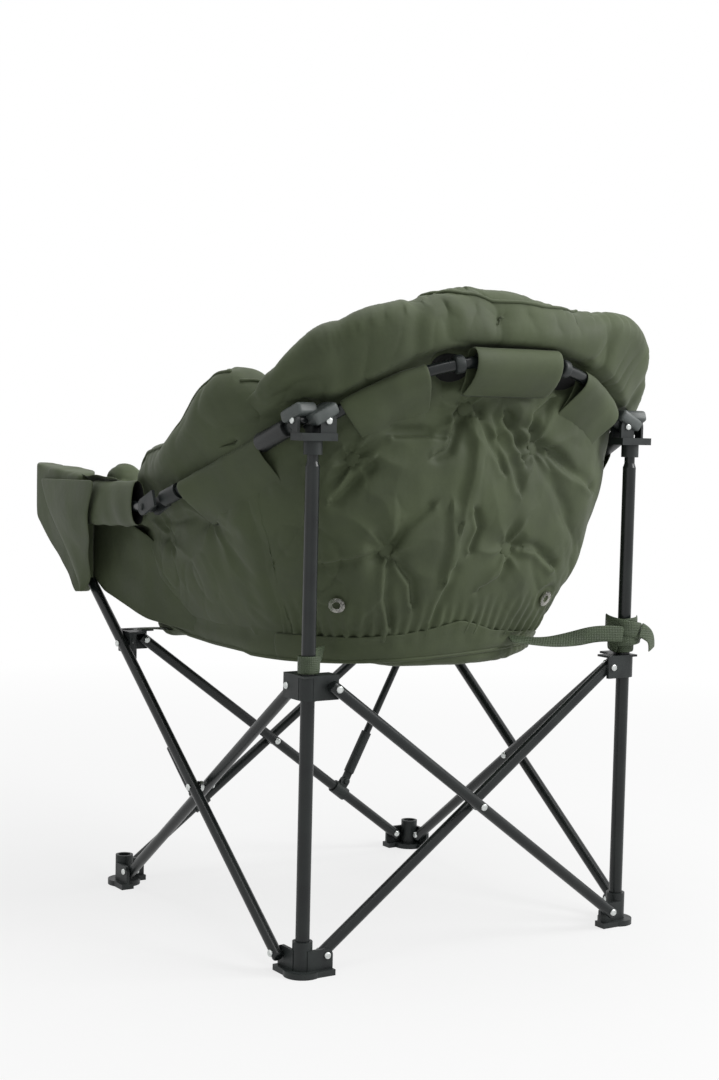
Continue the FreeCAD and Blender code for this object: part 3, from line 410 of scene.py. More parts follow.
def swell(pad, sewn_share, cap_mm):
    """Blow a pad up as cloth. sewn_share(point) is how firmly the point is sewn, from 0 to 1."""
    rest = [vert.co.copy() for vert in pad.data.vertices]
    sewn = pad.vertex_groups.new(name="sewn")
    for vert in pad.data.vertices:
        share = sewn_share(vert.co)
        if share > 0:
            sewn.add([vert.index], share, "REPLACE")
    cloth = pad.modifiers.new("swell", "CLOTH")
    cloth.settings.quality = SIM_QUALITY
    cloth.settings.use_pressure = True
    cloth.settings.uniform_pressure_force = PAD_PRESSURE
    cloth.settings.effector_weights.gravity = 0.0
    cloth.settings.vertex_group_mass = sewn.name
    cloth.point_cache.frame_end = SIM_FRAMES
    for step in range(1, SIM_FRAMES + 1):
        bpy.context.scene.frame_set(step)
    apply_modifiers(pad)
    bpy.context.scene.frame_set(1)
    for vert, start in zip(pad.data.vertices, rest):
        move = vert.co - start
        if move.length > cap_mm * MM:
            vert.co = start + move.normalized() * cap_mm * MM


def soften(pad, passes, factor=0.5):
    """Relax the grid's stair steps."""
    shape = bmesh.new()
    shape.from_mesh(pad.data)
    for _ in range(passes):
        bmesh.ops.smooth_vert(shape, verts=shape.verts, factor=factor, use_axis_x=True, use_axis_y=True,
                              use_axis_z=True)
    shape.to_mesh(pad.data)
    shape.free()


def push(pad, height_mm):
    """Move each point along its normal by height_mm(point, normal)."""
    shape = bmesh.new()
    shape.from_mesh(pad.data)
    shape.normal_update()
    moves = [vert.normal * height_mm(vert.co, vert.normal) * MM for vert in shape.verts]
    for vert, move in zip(shape.verts, moves):
        vert.co += move
    shape.to_mesh(pad.data)
    shape.free()


def line_inside(pad, outward):
    """Give the faces that look into the bucket the lining."""
    pad.data.materials.append(lining)
    for face in pad.data.polygons:
        if face.normal.dot(outward(face.center)) < LINING_FACING:
            face.material_index = 1


def subdivide(piece):
    """Round a piece off by one level of subdivision."""
    smooth = piece.modifiers.new("smooth", "SUBSURF")
    smooth.levels = smooth.render_levels = 1
    apply_modifiers(piece)


def belongs(piece, body, node=None, squash=None):
    """Parent a piece to the body that it rides on, hide the CAD node that it takes the place of, and
    give it a mesh of its own when a squash is given.
    """
    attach(piece, body)
    if node:
        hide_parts(node)
    if squash:
        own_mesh(piece)


def finish_pad(pad, node, body, outward, creases):
    """One subdivision, the fine creases and the lining, then the body that the pad rides on and the CAD node
    that it hides.
    """
    subdivide(pad)
    push(pad, creases)
    line_inside(pad, outward)
    belongs(pad, body, node)
    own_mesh(pad)
    print(pad.name, "faces:", len(pad.data.polygons))


def ripple(point, size_mm, seed):
    """Smooth noise from -1 to 1 with waves of about that size."""
    return noise.noise(point / (size_mm * MM) + Vector((seed, seed * 2, seed * 3)))


WRINKLE_SQUEEZE, WRINKLE_SLANT, WRINKLE_PATCH_MM, WRINKLE_COVER = 0.55, 0.4, 150, 0.25
LARGE_WRINKLE_MM, SMALL_WRINKLE_MM, SMALL_SHARE = 95, 52, 0.6


def wrinkles(point, depth_mm):
    """Thin sharp creases in patches, in mm: they lie where smooth noise passes through zero."""
    slanted = Vector((point.x, point.y, point.z * WRINKLE_SQUEEZE + point.x * WRINKLE_SLANT))
    large = (1 - abs(ripple(slanted, LARGE_WRINKLE_MM, 7))) ** 12
    small = (1 - abs(ripple(slanted, SMALL_WRINKLE_MM, 8))) ** 9
    sharp = large + SMALL_SHARE * small
    return -depth_mm * sharp * max(ripple(point, WRINKLE_PATCH_MM, 9) + WRINKLE_COVER, 0)

# %% [markdown]
# On the back, five tufts pull the outer cloth in, and the cloth folds in rays round each of them.
# Their places are read off the photograph as an angle from the middle of the back and a height, so
# the cloth is measured in the same way: round the bowl, or rolled out flat.

# %% Places on the back
TUFTS = ((38, 680), (29, 560), (8, 752), (-9, 560), (-15, 700))
TUFT_SEWN_MM, BACK_SEWN_BELOW_M = 9.0, 0.442
CLOTH_RADIUS_MM = 300.0


def round_place(point):
    """Angle from the middle of the back in degrees, height in mm, and reach from the axis in mm."""
    across, behind = point.x / MM, (point.y - ROW_SHIFT) / MM
    return math.degrees(math.atan2(across, behind)), point.z / MM, math.hypot(across, behind)


def tuft_offset(point, tuft):
    """Distance in mm and direction of a point from a tuft, over the cloth."""
    degrees, height, reach = round_place(point)
    along, up = math.radians(degrees - tuft[0]) * reach, height - tuft[1]
    return math.hypot(along, up), math.atan2(up, along)


def back_sewn(point):
    """The tufts and the lower edge are sewn, the rest is free."""
    near = min(tuft_offset(point, tuft)[0] for tuft in TUFTS)
    return 1.0 if near < TUFT_SEWN_MM or point.z < BACK_SEWN_BELOW_M else 0.0


def outward_of(point):
    """The level direction away from the bowl's axis."""
    return Vector((point.x, point.y - ROW_SHIFT, 0)).normalized()


def out_at(degrees):
    """The level direction at an angle from the middle of the back."""
    return Vector((math.sin(math.radians(degrees)), math.cos(math.radians(degrees)), 0))


def on_cloth(degrees, height):
    """A place on the back's cloth, rolled out flat, in mm."""
    return Vector((math.radians(degrees) * CLOTH_RADIUS_MM, height))


def along_table(table, at_value):
    """Read a table of (place, value) pairs, in a straight line between its rows."""
    for (low, first), (high, last) in zip(table, table[1:]):
        if at_value <= high:
            return first + (last - first) * max(at_value - low, 0) / (high - low)
    return table[-1][1]


def ease(low, high, value):
    """0 below low, 1 above high, and a smooth step between."""
    share = min(max((value - low) / (high - low), 0), 1)
    return share * share * (3 - 2 * share)


print("tufts on the back:", len(TUFTS))

# %% [markdown]
# The rim is a roll of wadding, full above the hoop and drawn in below it, with narrow channels. A
# separate tube would be simpler to model, but on the chair the rim is the same cloth as the back,
# so it is pushed out of the back's own grid. Two hollows take the dark cut-outs beside the flap.

# %% Large forms of the back
PAD_FULL_MM, OUTSIDE_FACING = 3.0, 0.1
RIM_FULL_MM, RIM_RISE_MM, LEFT_END_LOSS, LEFT_END_DEG = 15.0, (-4, 16), 0.75, (44, 60)
NOTCH_MM, NOTCH_WIDE_DEG = 11.0, 1.8
EDGE_DIP_MM, DIP_BELOW_MM, DIP_WIDE_MM = 4.0, 8, 9
RIM_NOTCHES = ((57, 0.7), (40, 0.35), (25.5, 0.4), (-27, 0.4), (-48, 0.4))
BAND_EDGE = ((0, 836), (6, 835), (13, 831), (23, 816), (33, 788), (41, 764), (48, 752), (62, 728))
CUT_OUTS, CUT_DEPTH_MM, CUT_EDGE_MM = ((15, 806), (-20, 800)), 12.0, (30, 15)
TUFT_PIT_MM, TUFT_PIT_WIDE_MM = 7.0, 20
WAVE_MM, WAVE_SIZE_MM, LINING_WAVE_MM, LINING_WAVE_SIZE_MM = 3.4, 75, 1.5, 60
PLEAT_MM, PLEAT_SIZE_MM, PLEAT_NARROW, PLEAT_TOP_Z = 3.0, 90, 2.4, (830, 770)


def rim_band(degrees, height):
    """The rolled rim: full above the hoop, drawn in under its lower edge, with narrow channels."""
    edge = along_table(BAND_EDGE, abs(degrees))
    full = RIM_FULL_MM * (1 - LEFT_END_LOSS * ease(*LEFT_END_DEG, degrees))
    for notch, share in RIM_NOTCHES:
        full -= NOTCH_MM * share * math.exp(-((degrees - notch) / NOTCH_WIDE_DEG) ** 2)
    dip = EDGE_DIP_MM * math.exp(-((height - edge + DIP_BELOW_MM) / DIP_WIDE_MM) ** 2)
    return full * ease(edge + RIM_RISE_MM[0], edge + RIM_RISE_MM[1], height) - dip


def back_form(point, normal):
    """Height in mm of the back's large forms: its rim, its loose waves and the pits of its tufts."""
    degrees, level_z = round_place(point)[:2]
    rim = rim_band(degrees, level_z)
    if normal.dot(outward_of(point)) < OUTSIDE_FACING:
        return PAD_FULL_MM + LINING_WAVE_MM * ripple(point, LINING_WAVE_SIZE_MM, 3) + max(rim, 0)
    height = PAD_FULL_MM + rim + WAVE_MM * ripple(point, WAVE_SIZE_MM, 1)
    narrow = Vector((point.x * PLEAT_NARROW, point.y * PLEAT_NARROW, point.z))
    height += PLEAT_MM * ripple(narrow, PLEAT_SIZE_MM, 2) * ease(*PLEAT_TOP_Z, level_z)
    for tuft in TUFTS:
        height -= TUFT_PIT_MM * math.exp(-(tuft_offset(point, tuft)[0] / TUFT_PIT_WIDE_MM) ** 2)
    for cut_deg, cut_z in CUT_OUTS:
        off = (on_cloth(degrees, level_z) - on_cloth(cut_deg, cut_z)).length
        height -= CUT_DEPTH_MM * ease(*CUT_EDGE_MM, off)
    return height


print("channels in the rim:", len(RIM_NOTCHES))

# %% [markdown]
# Slack cloth lies in long folds between the tufts. A bump texture would look flat from the side,
# so the folds are pressed into the mesh. Each is drawn as (depth, width, places), read off the
# photograph, and the short rays round the tufts and the gathers at the hem are added to them.

# %% Folds of the back
FOLD_LINES = (
    (4.2, 8, ((11, 744), (12, 721), (14, 698), (17, 691))),
    (2.8, 8, ((28, 715), (21, 717), (15, 714))),
    (4.2, 8, ((-4, 739), (-7, 716), (-10, 688))),
    (4.2, 8, ((-17, 768), (-12, 747), (-12, 723))),
    (4.2, 9, ((34, 676), (38, 653), (42, 629))),
    (3.5, 8, ((32, 556), (38, 545), (46, 537))),
    (2.8, 8, ((27, 563), (24, 590), (18, 617))),
    (4.2, 8, ((26, 539), (22, 514), (21, 486))),
    (3.5, 8, ((29, 539), (29, 490), (27, 454))),
    (2.8, 9, ((10, 531), (12, 488), (14, 460))),
    (4.2, 7, ((5, 610), (3, 589), (5, 562))),
    (2.8, 8, ((-9, 539), (-7, 518), (-1, 504))),
    (4.9, 8, ((-13, 560), (-18, 557), (-26, 532))),
    (3.5, 9, ((-20, 692), (-27, 664), (-36, 642))),
    (2.8, 9, ((-2, 712), (-7, 671), (-9, 644))),
    (3.5, 9, ((5, 745), (1, 705), (-3, 671))),
    (-3.5, 14, ((7, 745), (6, 705), (7, 657), (9, 603))),
    (-2.8, 12, ((12, 610), (11, 559), (12, 524))),
)
FLAT_FOLDS = [(depth, width, [on_cloth(*place) for place in line]) for depth, width, line in FOLD_LINES]
FOLD_REACH_MM, BACK_WRINKLE_MM = 70.0, 5.0
VALLEY, VALLEY_SHARP, VALLEY_STEP = 1.7, 1.4, 2.4
TUFT_RAYS, RAY_MM, RAY_FADE_MM, RAY_START_MM, RAY_BEND, RAY_BEND_MM = 6, 4.6, 50, 14, 1.4, 50
GATHER_DEG, GATHER_MM, GATHER_Z = 3.6, 2.8, (505, 440)


def line_offset(place, line):
    """Distance in mm from a place on the cloth to a line of places, below zero on its right."""
    best = 1e9
    for first, last in zip(line, line[1:]):
        run = last - first
        share = min(max((place - first).dot(run) / run.length_squared, 0), 1)
        away = place - first - run * share
        if away.length < abs(best):
            best = math.copysign(away.length, run.cross(away))
    return best


def fold_profile(off):
    """Depth across a fold: a sharp valley with a higher and a lower side."""
    return VALLEY * math.exp(-abs(off) * VALLEY_SHARP) - VALLEY_STEP * off * math.exp(-off * off)


def tuft_rays(point, far, turn, number):
    """Height in mm of the folds that run out from a tuft and die away."""
    bend = RAY_BEND * ripple(point, RAY_BEND_MM, number)
    rays = 1 - 2 * abs(math.sin(TUFT_RAYS / 2 * turn + number + bend))
    return RAY_MM * rays * math.exp(-far / RAY_FADE_MM) * (1 - math.exp(-(far / RAY_START_MM) ** 2))


def back_creases(point, normal):
    """Height in mm of the sharp folds: drawn lines, rays round the tufts and the gathered hem."""
    if normal.dot(outward_of(point)) < OUTSIDE_FACING:
        return 0
    degrees, level_z = round_place(point)[:2]
    height = wrinkles(point, BACK_WRINKLE_MM)
    place = on_cloth(degrees, level_z)
    for depth, width, line in FLAT_FOLDS:
        if (place - line[len(line) // 2]).length < FOLD_REACH_MM + width:
            off = line_offset(place, line) / width
            height -= depth * fold_profile(off)
    for number, tuft in enumerate(TUFTS):
        far, turn = tuft_offset(point, tuft)
        if far < 3 * FOLD_REACH_MM:
            height += tuft_rays(point, far, turn, number)
    gather = math.cos(degrees * 2 * math.pi / GATHER_DEG + 2 * ripple(point, 60, 4))
    return height + GATHER_MM * gather * ease(*GATHER_Z, level_z) * (0.7 + 0.6 * ripple(point, 40, 5))


print("drawn folds:", len(FLAT_FOLDS))

# %% [markdown]
# Sewing and use give the bucket its last shapes: edges meet at the seams, the rim sags and stands,
# the ties draw the corners in, and the cloth is pressed flat behind the eyelets. Each of these is
# one small move of the pad's points, so that they can be set apart from the folds.

# %% Moves that fit the pads together
SEAM_TURN_DEG, BACK_EDGE_DEG, SIDE_EDGE_DEG = 3.2, (46, 62), (78, 62)
RIM_LIFT = ((-62, -28), (-55, -12), (-46, 16), (-36, 28), (-28, 28), (-20, 6), (-8, -6), (6, 0), (11, 11),
            (18, 21), (28, 26), (34, 17), (40, 6), (46, 2), (54, -14), (62, -12))
LIFT_RISE_MM = (-10, 45)
WAIST_FROM_DEG, WAIST_TO_DEG, WAIST_Z = (36, 57), (100, 66), (650, 480)
LEFT_WAIST_MM, RIGHT_WAIST_MM = 15.0, 25.0
EYELET_BACK_MM, EYELET_REACH_MM, EYELET_SLOPE_MM = 1.5, 28.0, 12


def close_seam(pad, turn):
    """Turn the edge of a pad past the seam, so that it meets its neighbour without a gap."""
    for vert in pad.data.vertices:
        degrees = round_place(vert.co)[0]
        share = turn(degrees)
        if share:
            away = Matrix.Rotation(-math.radians(share), 3, "Z")
            middle = at(0, 0, vert.co.z / MM)
            vert.co = middle + away @ (vert.co - middle)


def back_edge_turn(degrees):
    """How far the back's edge turns towards the side."""
    return math.copysign(SEAM_TURN_DEG * ease(*BACK_EDGE_DEG, abs(degrees)), degrees)


def side_edge_turn(degrees):
    """How far a side's edge turns towards the back."""
    return -math.copysign(SEAM_TURN_DEG * ease(*SIDE_EDGE_DEG, abs(degrees)), degrees)


def lift_rim(pad):
    """Raise or lower the roll of the rim to the heights that it has in the photograph."""
    for vert in pad.data.vertices:
        degrees, height = round_place(vert.co)[:2]
        edge = along_table(BAND_EDGE, abs(degrees))
        share = ease(edge + LIFT_RISE_MM[0], edge + LIFT_RISE_MM[1], height)
        vert.co.z += along_table(RIM_LIFT, degrees) * share * MM


def move_out(vert, height, factor):
    """Scale a point's distance from the bowl's axis."""
    middle = at(0, 0, height)
    vert.co = middle + (vert.co - middle) * factor


def draw_waist(pad, left_mm, right_mm):
    """Draw the corners between back and sides in, low down, where the ties pull on them."""
    for vert in pad.data.vertices:
        degrees, height, reach = round_place(vert.co)
        corner = ease(*WAIST_FROM_DEG, abs(degrees)) * ease(*WAIST_TO_DEG, abs(degrees))
        share = corner * ease(*WAIST_Z, height)
        depth = left_mm if degrees > 0 else right_mm
        move_out(vert, height, 1 - depth * share / reach)


def seat_eyelets(pad):
    """Press the cloth flat behind the two drain eyelets, so that their rings lie on it."""
    for side in (-1, 1):
        ring = [vert.co for vert in NODES["eyelets"].data.vertices if vert.co.x * side > 0]
        centre = sum(ring, Vector()) / len(ring)
        first = max(ring, key=lambda spot: (spot - centre).length)
        crosses = [(first - centre).cross(spot - centre) for spot in ring]
        facing = max(crosses, key=lambda way: way.length).normalized()
        facing *= math.copysign(1, facing.dot(outward_of(centre)))
        for vert in pad.data.vertices:
            away = vert.co - centre
            rise = away.dot(facing) + EYELET_BACK_MM * MM
            flat = (away - facing * away.dot(facing)).length / MM
            if away.length < EYELET_REACH_MM * MM and rise > 0:
                vert.co -= facing * rise * ease(EYELET_REACH_MM, EYELET_REACH_MM - EYELET_SLOPE_MM, flat)

# %% [markdown]
# With these moves at hand the back is made: an even grid over the CAD solid, blown up by the cloth
# simulation while its tufts are pinned, and then given its forms. The moves at the seams and the
# rim come after the swelling, which would undo them.

# %% Back cushion
PAD_INSET_MM, SWELL_MM, LIGHT_SOFTEN = 2.5, 12.0, 0.3
back_pad = pad_start("back_pad", "back_cushion", PAD_INSET_MM, canvas, FINE_VOXEL_MM)
soften(back_pad, 3)
swell(back_pad, back_sewn, SWELL_MM)
push(back_pad, back_form)
close_seam(back_pad, back_edge_turn)
lift_rim(back_pad)
draw_waist(back_pad, LEFT_WAIST_MM, RIGHT_WAIST_MM)
soften(back_pad, 1, LIGHT_SOFTEN)
print("back pad shaped, points:", len(back_pad.data.vertices))

# %% [markdown]
# The two sides are alike, so one is simulated and the other is its mirror image, drawn in a little
# more at the corner. Sewn channels part each rim into lobes along the arm. The tables give heights
# and fullness at places along the side, from the front at -372 mm to the corner.

# %% Forms and folds of the sides
RIM_HEIGHTS = ((-372, 614), (-300, 618), (-220, 622), (-140, 658), (-60, 688), (20, 724), (95, 752),
               (180, 772))
SIDE_NOTCHES, SIDE_NOTCH_WIDE_MM = ((-262, 5), (-176, 8)), 11
SIDE_RIM = ((-372, 3), (-190, 3), (-120, 9), (20, 14), (110, 20), (180, 12))
SIDE_LIFT = ((-372, 0), (-220, -6), (-180, -14), (-150, -4), (-120, 2), (-60, -18), (20, -16), (60, -6),
             (110, 14), (150, 16), (190, 0))
SIDE_RIM_RISE_MM, SIDE_LIFT_RISE_MM = (-105, -40), (-130, -20)
SIDE_WAVE_MM, SIDE_WAVE_SIZE_MM, SIDE_WRINKLE_MM = 2.2, 70, 6.0
SIDE_TUFTS, SIDE_PIT_WIDE_MM, SIDE_SEWN_BELOW_MM = ((30, 590), (-110, 555), (-215, 560)), 18, 440


def side_place(point):
    """Place along the side and height, both in mm."""
    return (point.y - ROW_SHIFT) / MM, point.z / MM


def side_sewn(point):
    """The tufts and the lower edge are sewn, the rest is free."""
    y, z = side_place(point)
    near = min(math.hypot(y - tuft_y, z - tuft_z) for tuft_y, tuft_z in SIDE_TUFTS)
    return 1.0 if near < TUFT_SEWN_MM or z < SIDE_SEWN_BELOW_MM else 0.0


def side_outward(point):
    """Away from the middle of the chair, to the left or right."""
    return Vector((math.copysign(1, point.x), 0, 0))


def side_form(point, normal):
    """Height in mm of the side's large forms: its rim, its loose waves and the pits of its tufts."""
    y, z = side_place(point)
    height = PAD_FULL_MM + SIDE_WAVE_MM * ripple(point, SIDE_WAVE_SIZE_MM, 5)
    rim_share = ease(*SIDE_RIM_RISE_MM, z - along_table(RIM_HEIGHTS, y))
    height += along_table(SIDE_RIM, y) * rim_share
    for notch, depth in SIDE_NOTCHES:
        height -= depth * rim_share * math.exp(-((y - notch) / SIDE_NOTCH_WIDE_MM) ** 2)
    if normal.dot(side_outward(point)) > OUTSIDE_FACING:
        for tuft_y, tuft_z in SIDE_TUFTS:
            far = math.hypot(y - tuft_y, z - tuft_z)
            height -= TUFT_PIT_MM * math.exp(-(far / SIDE_PIT_WIDE_MM) ** 2)
    return height


def side_creases(point, normal):
    """Height in mm of the side's sharp folds."""
    if normal.dot(side_outward(point)) < OUTSIDE_FACING:
        return 0
    y, z = side_place(point)
    height = wrinkles(point, SIDE_WRINKLE_MM)
    for number, (tuft_y, tuft_z) in enumerate(SIDE_TUFTS):
        far, turn = math.hypot(y - tuft_y, z - tuft_z), math.atan2(z - tuft_z, y - tuft_y)
        height += tuft_rays(point, far, turn, number)
    return height


def lift_side_rim(pad):
    """Raise or lower the side's rim to the heights that it has in the photograph."""
    for vert in pad.data.vertices:
        y, z = side_place(vert.co)
        share = ease(*SIDE_LIFT_RISE_MM, z - along_table(RIM_HEIGHTS, y))
        vert.co.z += along_table(SIDE_LIFT, y) * share * MM


print("tufts on each side:", len(SIDE_TUFTS))

# %% [markdown]
# Back and sides are sewn edge to edge, and from outside the cloth runs nearly straight across the
# seam. Two blown-up pads would leave a groove there. So rays measure how far out the cloth lies on
# either side of the seam, and the points between are moved out to a line from one to the other.

# %% Seams between back and sides
SEAM_REACH_MM, SEAM_BEHIND, SEAM_AHEAD, SEAM_FADE_MM = 40.0, 50, 76, 30
SEAM_HEIGHTS, RAY_FROM_M = range(440, 770, 15), 0.7


def tree_of(*pads):
    """A search tree over the faces of some pads."""
    joined = bmesh.new()
    for pad in pads:
        joined.from_mesh(pad.data)
    tree = BVHTree.FromBMesh(joined)
    joined.free()
    return tree


def reach_table(tree, degrees):
    """Distance from the bowl's axis to the outer cloth at one angle, for a row of heights."""
    out = out_at(degrees)
    rows = []
    for height in SEAM_HEIGHTS:
        hit = tree.ray_cast(at(0, 0, height) + out * RAY_FROM_M, -out)[0]
        if hit:
            rows.append((height, round_place(hit)[2]))
    return rows


def fill_seam(pads, back, ahead, back_rows, ahead_rows):
    """Draw the outer cloth straight across the seam between the back and a side."""
    for pad in pads:
        normals = [vert.normal.copy() for vert in pad.data.vertices]
        for vert, normal in zip(pad.data.vertices, normals):
            degrees, height, reach = round_place(vert.co)
            top = min(back_rows[-1][0], ahead_rows[-1][0])
            if not back < degrees < ahead or height > top or normal.dot(outward_of(vert.co)) < 0:
                continue
            share = ease(back, ahead, degrees)
            goal = along_table(back_rows, height) * (1 - share) + along_table(ahead_rows, height) * share
            if goal - SEAM_REACH_MM < reach < goal:
                grow = 1 + (goal / reach - 1) * ease(top, top - SEAM_FADE_MM, height)
                move_out(vert, height, grow)

# %% [markdown]
# The left side goes through the same steps, and the right one is mirrored from it. Only then do the
# pads get their fine folds.

# %% Side cushions
FAINT_SOFTEN, PAD_FILL, RING_SHARP_DEG = 0.2, 0.7, 40
SQUASH_KEEP = 0.34
SQUASH_X = dict(axis=(1, 0, 0), anchor=at(POST_HALF, 0, 0), keep=SQUASH_KEEP)
SQUASH_Y = dict(axis=(0, 1, 0), anchor=at(0, POST_HALF, 0), keep=SQUASH_KEEP)
left_pad = pad_start("left_side_pad", "left_side_cushion", PAD_INSET_MM, canvas)
soften(left_pad, 2)
swell(left_pad, side_sewn, SWELL_MM)
push(left_pad, side_form)
close_seam(left_pad, side_edge_turn)
lift_side_rim(left_pad)
draw_waist(left_pad, LEFT_WAIST_MM, 0)
soften(left_pad, 1, LIGHT_SOFTEN)
left_rows = reach_table(tree_of(left_pad), SEAM_AHEAD)
back_rows = reach_table(tree_of(back_pad), SEAM_BEHIND)
fill_seam((back_pad, left_pad), SEAM_BEHIND, SEAM_AHEAD, back_rows, left_rows)
soften(back_pad, 1, FAINT_SOFTEN)
right_shape = bmesh.new()
right_shape.from_mesh(left_pad.data)
bmesh.ops.scale(right_shape, vec=(-1, 1, 1), verts=right_shape.verts)
bmesh.ops.reverse_faces(right_shape, faces=right_shape.faces)
right_pad = new_object("right_side_pad", right_shape, canvas)
draw_waist(right_pad, 0, RIGHT_WAIST_MM - LEFT_WAIST_MM)
finish_pad(back_pad, "back_cushion", "rear_left_post", outward_of, back_creases)
seat_eyelets(back_pad)
rings = new_object("drain_eyelets", NODES["eyelets"].data.copy(), nickel)
rings.data.set_sharp_from_angle(angle=math.radians(RING_SHARP_DEG))
belongs(rings, "rear_left_post", "eyelets", SQUASH_X)
finish_pad(left_pad, "left_side_cushion", "rear_left_post", side_outward, side_creases)
finish_pad(right_pad, "right_side_cushion", "rear_right_post", side_outward, side_creases)

# %% [markdown]
# The seat pad is simpler: it is pinned all round and crowns in the middle. On the chair it is sewn
# to the hem of the bucket, which is wider than the CAD pad at the back, so the pad's rear edge is
# carried out to the hem and no light shows between seat and back.

# %% Seat cushion
SEAT_INSET_MM, SEAT_SWELL_MM, SEAT_FILL = 2.0, 10.0, 0.6
SEAT_HALF_X, SEAT_HALF_Y, SEAT_AHEAD, SEAT_SEWN_SHARE = 0.224, 0.227, 0.035, 0.95
SEAT_FULL_MM, SEAT_WAVE_MM, SEAT_WAVE_SIZE_MM = 1.0, 2.0, 80
SEAT_CREASE_SIZE_MM, SEAT_WRINKLE_MM = 36, 2.0
BAND_OUT, BAND_POWER = 233.0, 2.35
SEAT_STEP_DEG, SPREAD_DEG, SPREAD_SHARE = 2.0, (105, 80), (0.6, 0.97)


def bowl_reach(degrees):
    """Distance from the axis to the bowl's rounded square outline, in mm."""
    angle = math.radians(degrees)
    powers = abs(math.sin(angle)) ** BAND_POWER + abs(math.cos(angle)) ** BAND_POWER
    return BAND_OUT * powers ** (-1 / BAND_POWER)


def spread_seat(pad):
    """Carry the rear half of the seat's edge out to the hem that it is sewn to."""
    edge = {}
    for vert in pad.data.vertices:
        degrees, _, reach = round_place(vert.co)
        step = round(degrees / SEAT_STEP_DEG)
        edge[step] = max(edge.get(step, 0), reach)
    for vert in pad.data.vertices:
        degrees, height, reach = round_place(vert.co)
        rim = edge[round(degrees / SEAT_STEP_DEG)]
        grow = max(bowl_reach(degrees) / rim - 1, 0) * ease(*SPREAD_DEG, abs(degrees))
        move_out(vert, height, 1 + grow * ease(*SPREAD_SHARE, reach / rim))


def seat_sewn(point):
    """The edge is sewn all round, the rest is free."""
    share = max(abs(point.x) / SEAT_HALF_X, abs(point.y - ROW_SHIFT + SEAT_AHEAD) / SEAT_HALF_Y)
    return 1.0 if share > SEAT_SEWN_SHARE else 0.0


def seat_form(point, _normal):
    """Height in mm of its loose waves."""
    return SEAT_FULL_MM + SEAT_WAVE_MM * ripple(point, SEAT_WAVE_SIZE_MM, 8)


def seat_creases(point, _normal):
    """Height in mm of its small creases."""
    return ripple(point, SEAT_CREASE_SIZE_MM, 9) + wrinkles(point, SEAT_WRINKLE_MM)


def seat_outward(_point):
    """The outer side of the seat is the one below."""
    return Vector((0, 0, -1))


seat_pad = pad_start("seat_pad", "seat_cushion", SEAT_INSET_MM, canvas)
soften(seat_pad, 2)
swell(seat_pad, seat_sewn, SEAT_SWELL_MM)
push(seat_pad, seat_form)
spread_seat(seat_pad)
soften(seat_pad, 1)
finish_pad(seat_pad, "seat_cushion", "seat", seat_outward, seat_creases)

# %% [markdown]
# Sleeves, straps and piping are long pieces with one cross-section. A few points make the outline,
# and its edges are extruded from one place along the piece to the next, turned to follow it. Thin
# cloth then gets its thickness from a Solidify modifier.

# %% Sweep helpers


def frames_along(points, facing):
    """A frame at each point: Z runs along the path, X faces away from the bucket, Y is up."""
    frames = []
    for i, point in enumerate(points):
        along = (points[min(i + 1, len(points) - 1)] - points[max(i - 1, 0)]).normalized()
        out = facing(point)
        out = (out - along * out.dot(along)).normalized()
        turn = Matrix((out, along.cross(out), along)).transposed().to_4x4()
        frames.append(Matrix.Translation(point) @ turn)
    return frames


def upright_frames(path, facing):
    """Frames whose Y points up, whichever way the path has to run for that."""
    frames = frames_along(path, facing)
    return frames if frames[0].col[1].z > 0 else frames_along(path[::-1], facing)


def sweep(outline, frames, closed):
    """Extrude an outline in mm from frame to frame."""
    shape = bmesh.new()
    row = [shape.verts.new(frames[0] @ Vector((x * MM, y * MM, 0))) for x, y in outline]
    edges = [shape.edges.new((row[i - 1], row[i])) for i in range(0 if closed else 1, len(row))]
    for before, after in zip(frames, frames[1:]):
        made = bmesh.ops.extrude_edge_only(shape, edges=edges)["geom"]
        verts = {item for item in made if isinstance(item, bmesh.types.BMVert)}
        edges = [item for item in made if isinstance(item, bmesh.types.BMEdge) and set(item.verts) <= verts]
        bmesh.ops.transform(shape, matrix=after @ before.inverted(), verts=list(verts))
    bmesh.ops.recalc_face_normals(shape, faces=shape.faces)
    return shape


def thicken(piece, thick_mm, inside=None):
    """Give thin cloth its thickness and round it off, with another finish inside where one is named."""
    wall = piece.modifiers.new("thickness", "SOLIDIFY")
    wall.thickness, wall.offset = thick_mm * MM, 0.0
    if inside:
        piece.data.materials.append(inside)
        wall.material_offset = 1
    subdivide(piece)


def cloth_piece(name, shape, thick_mm, body, node=None, squash=None, inside=None):
    """A thin piece of canvas: made from a bmesh, thickened, and told what it belongs to."""
    piece = new_object(name, shape, canvas)
    thicken(piece, thick_mm, inside)
    belongs(piece, body, node, squash)
    return piece


def area_of(shape):
    """The area of a bmesh in square metres."""
    return sum(face.calc_area() for face in shape.faces)


def arc_points(first, middle, last, shares):
    """Points on the circle through three points, at shares of the way from the first to the last."""
    a, b = middle - first, last - first
    normal = a.cross(b)
    to_centre = b.length_squared * normal.cross(a) + a.length_squared * b.cross(normal)
    centre = first + to_centre / (2 * normal.length_squared)
    start = first - centre
    normal.normalize()
    end = last - centre
    angle = math.atan2(normal.dot(start.cross(end)), start.dot(end)) % (2 * math.pi)
    return [centre + Matrix.Rotation(angle * share, 3, normal) @ start for share in shares]


def on_side(points, side):
    """The points of the left side, or their mirror image for the right one."""
    return points if side > 0 else [Vector((-point.x, point.y, point.z)) for point in points]


def shares(first, last, count):
    """Evenly spaced numbers from the first to the last."""
    return [first + (last - first) * i / (count - 1) for i in range(count)]


LAY_FROM_M = 0.08


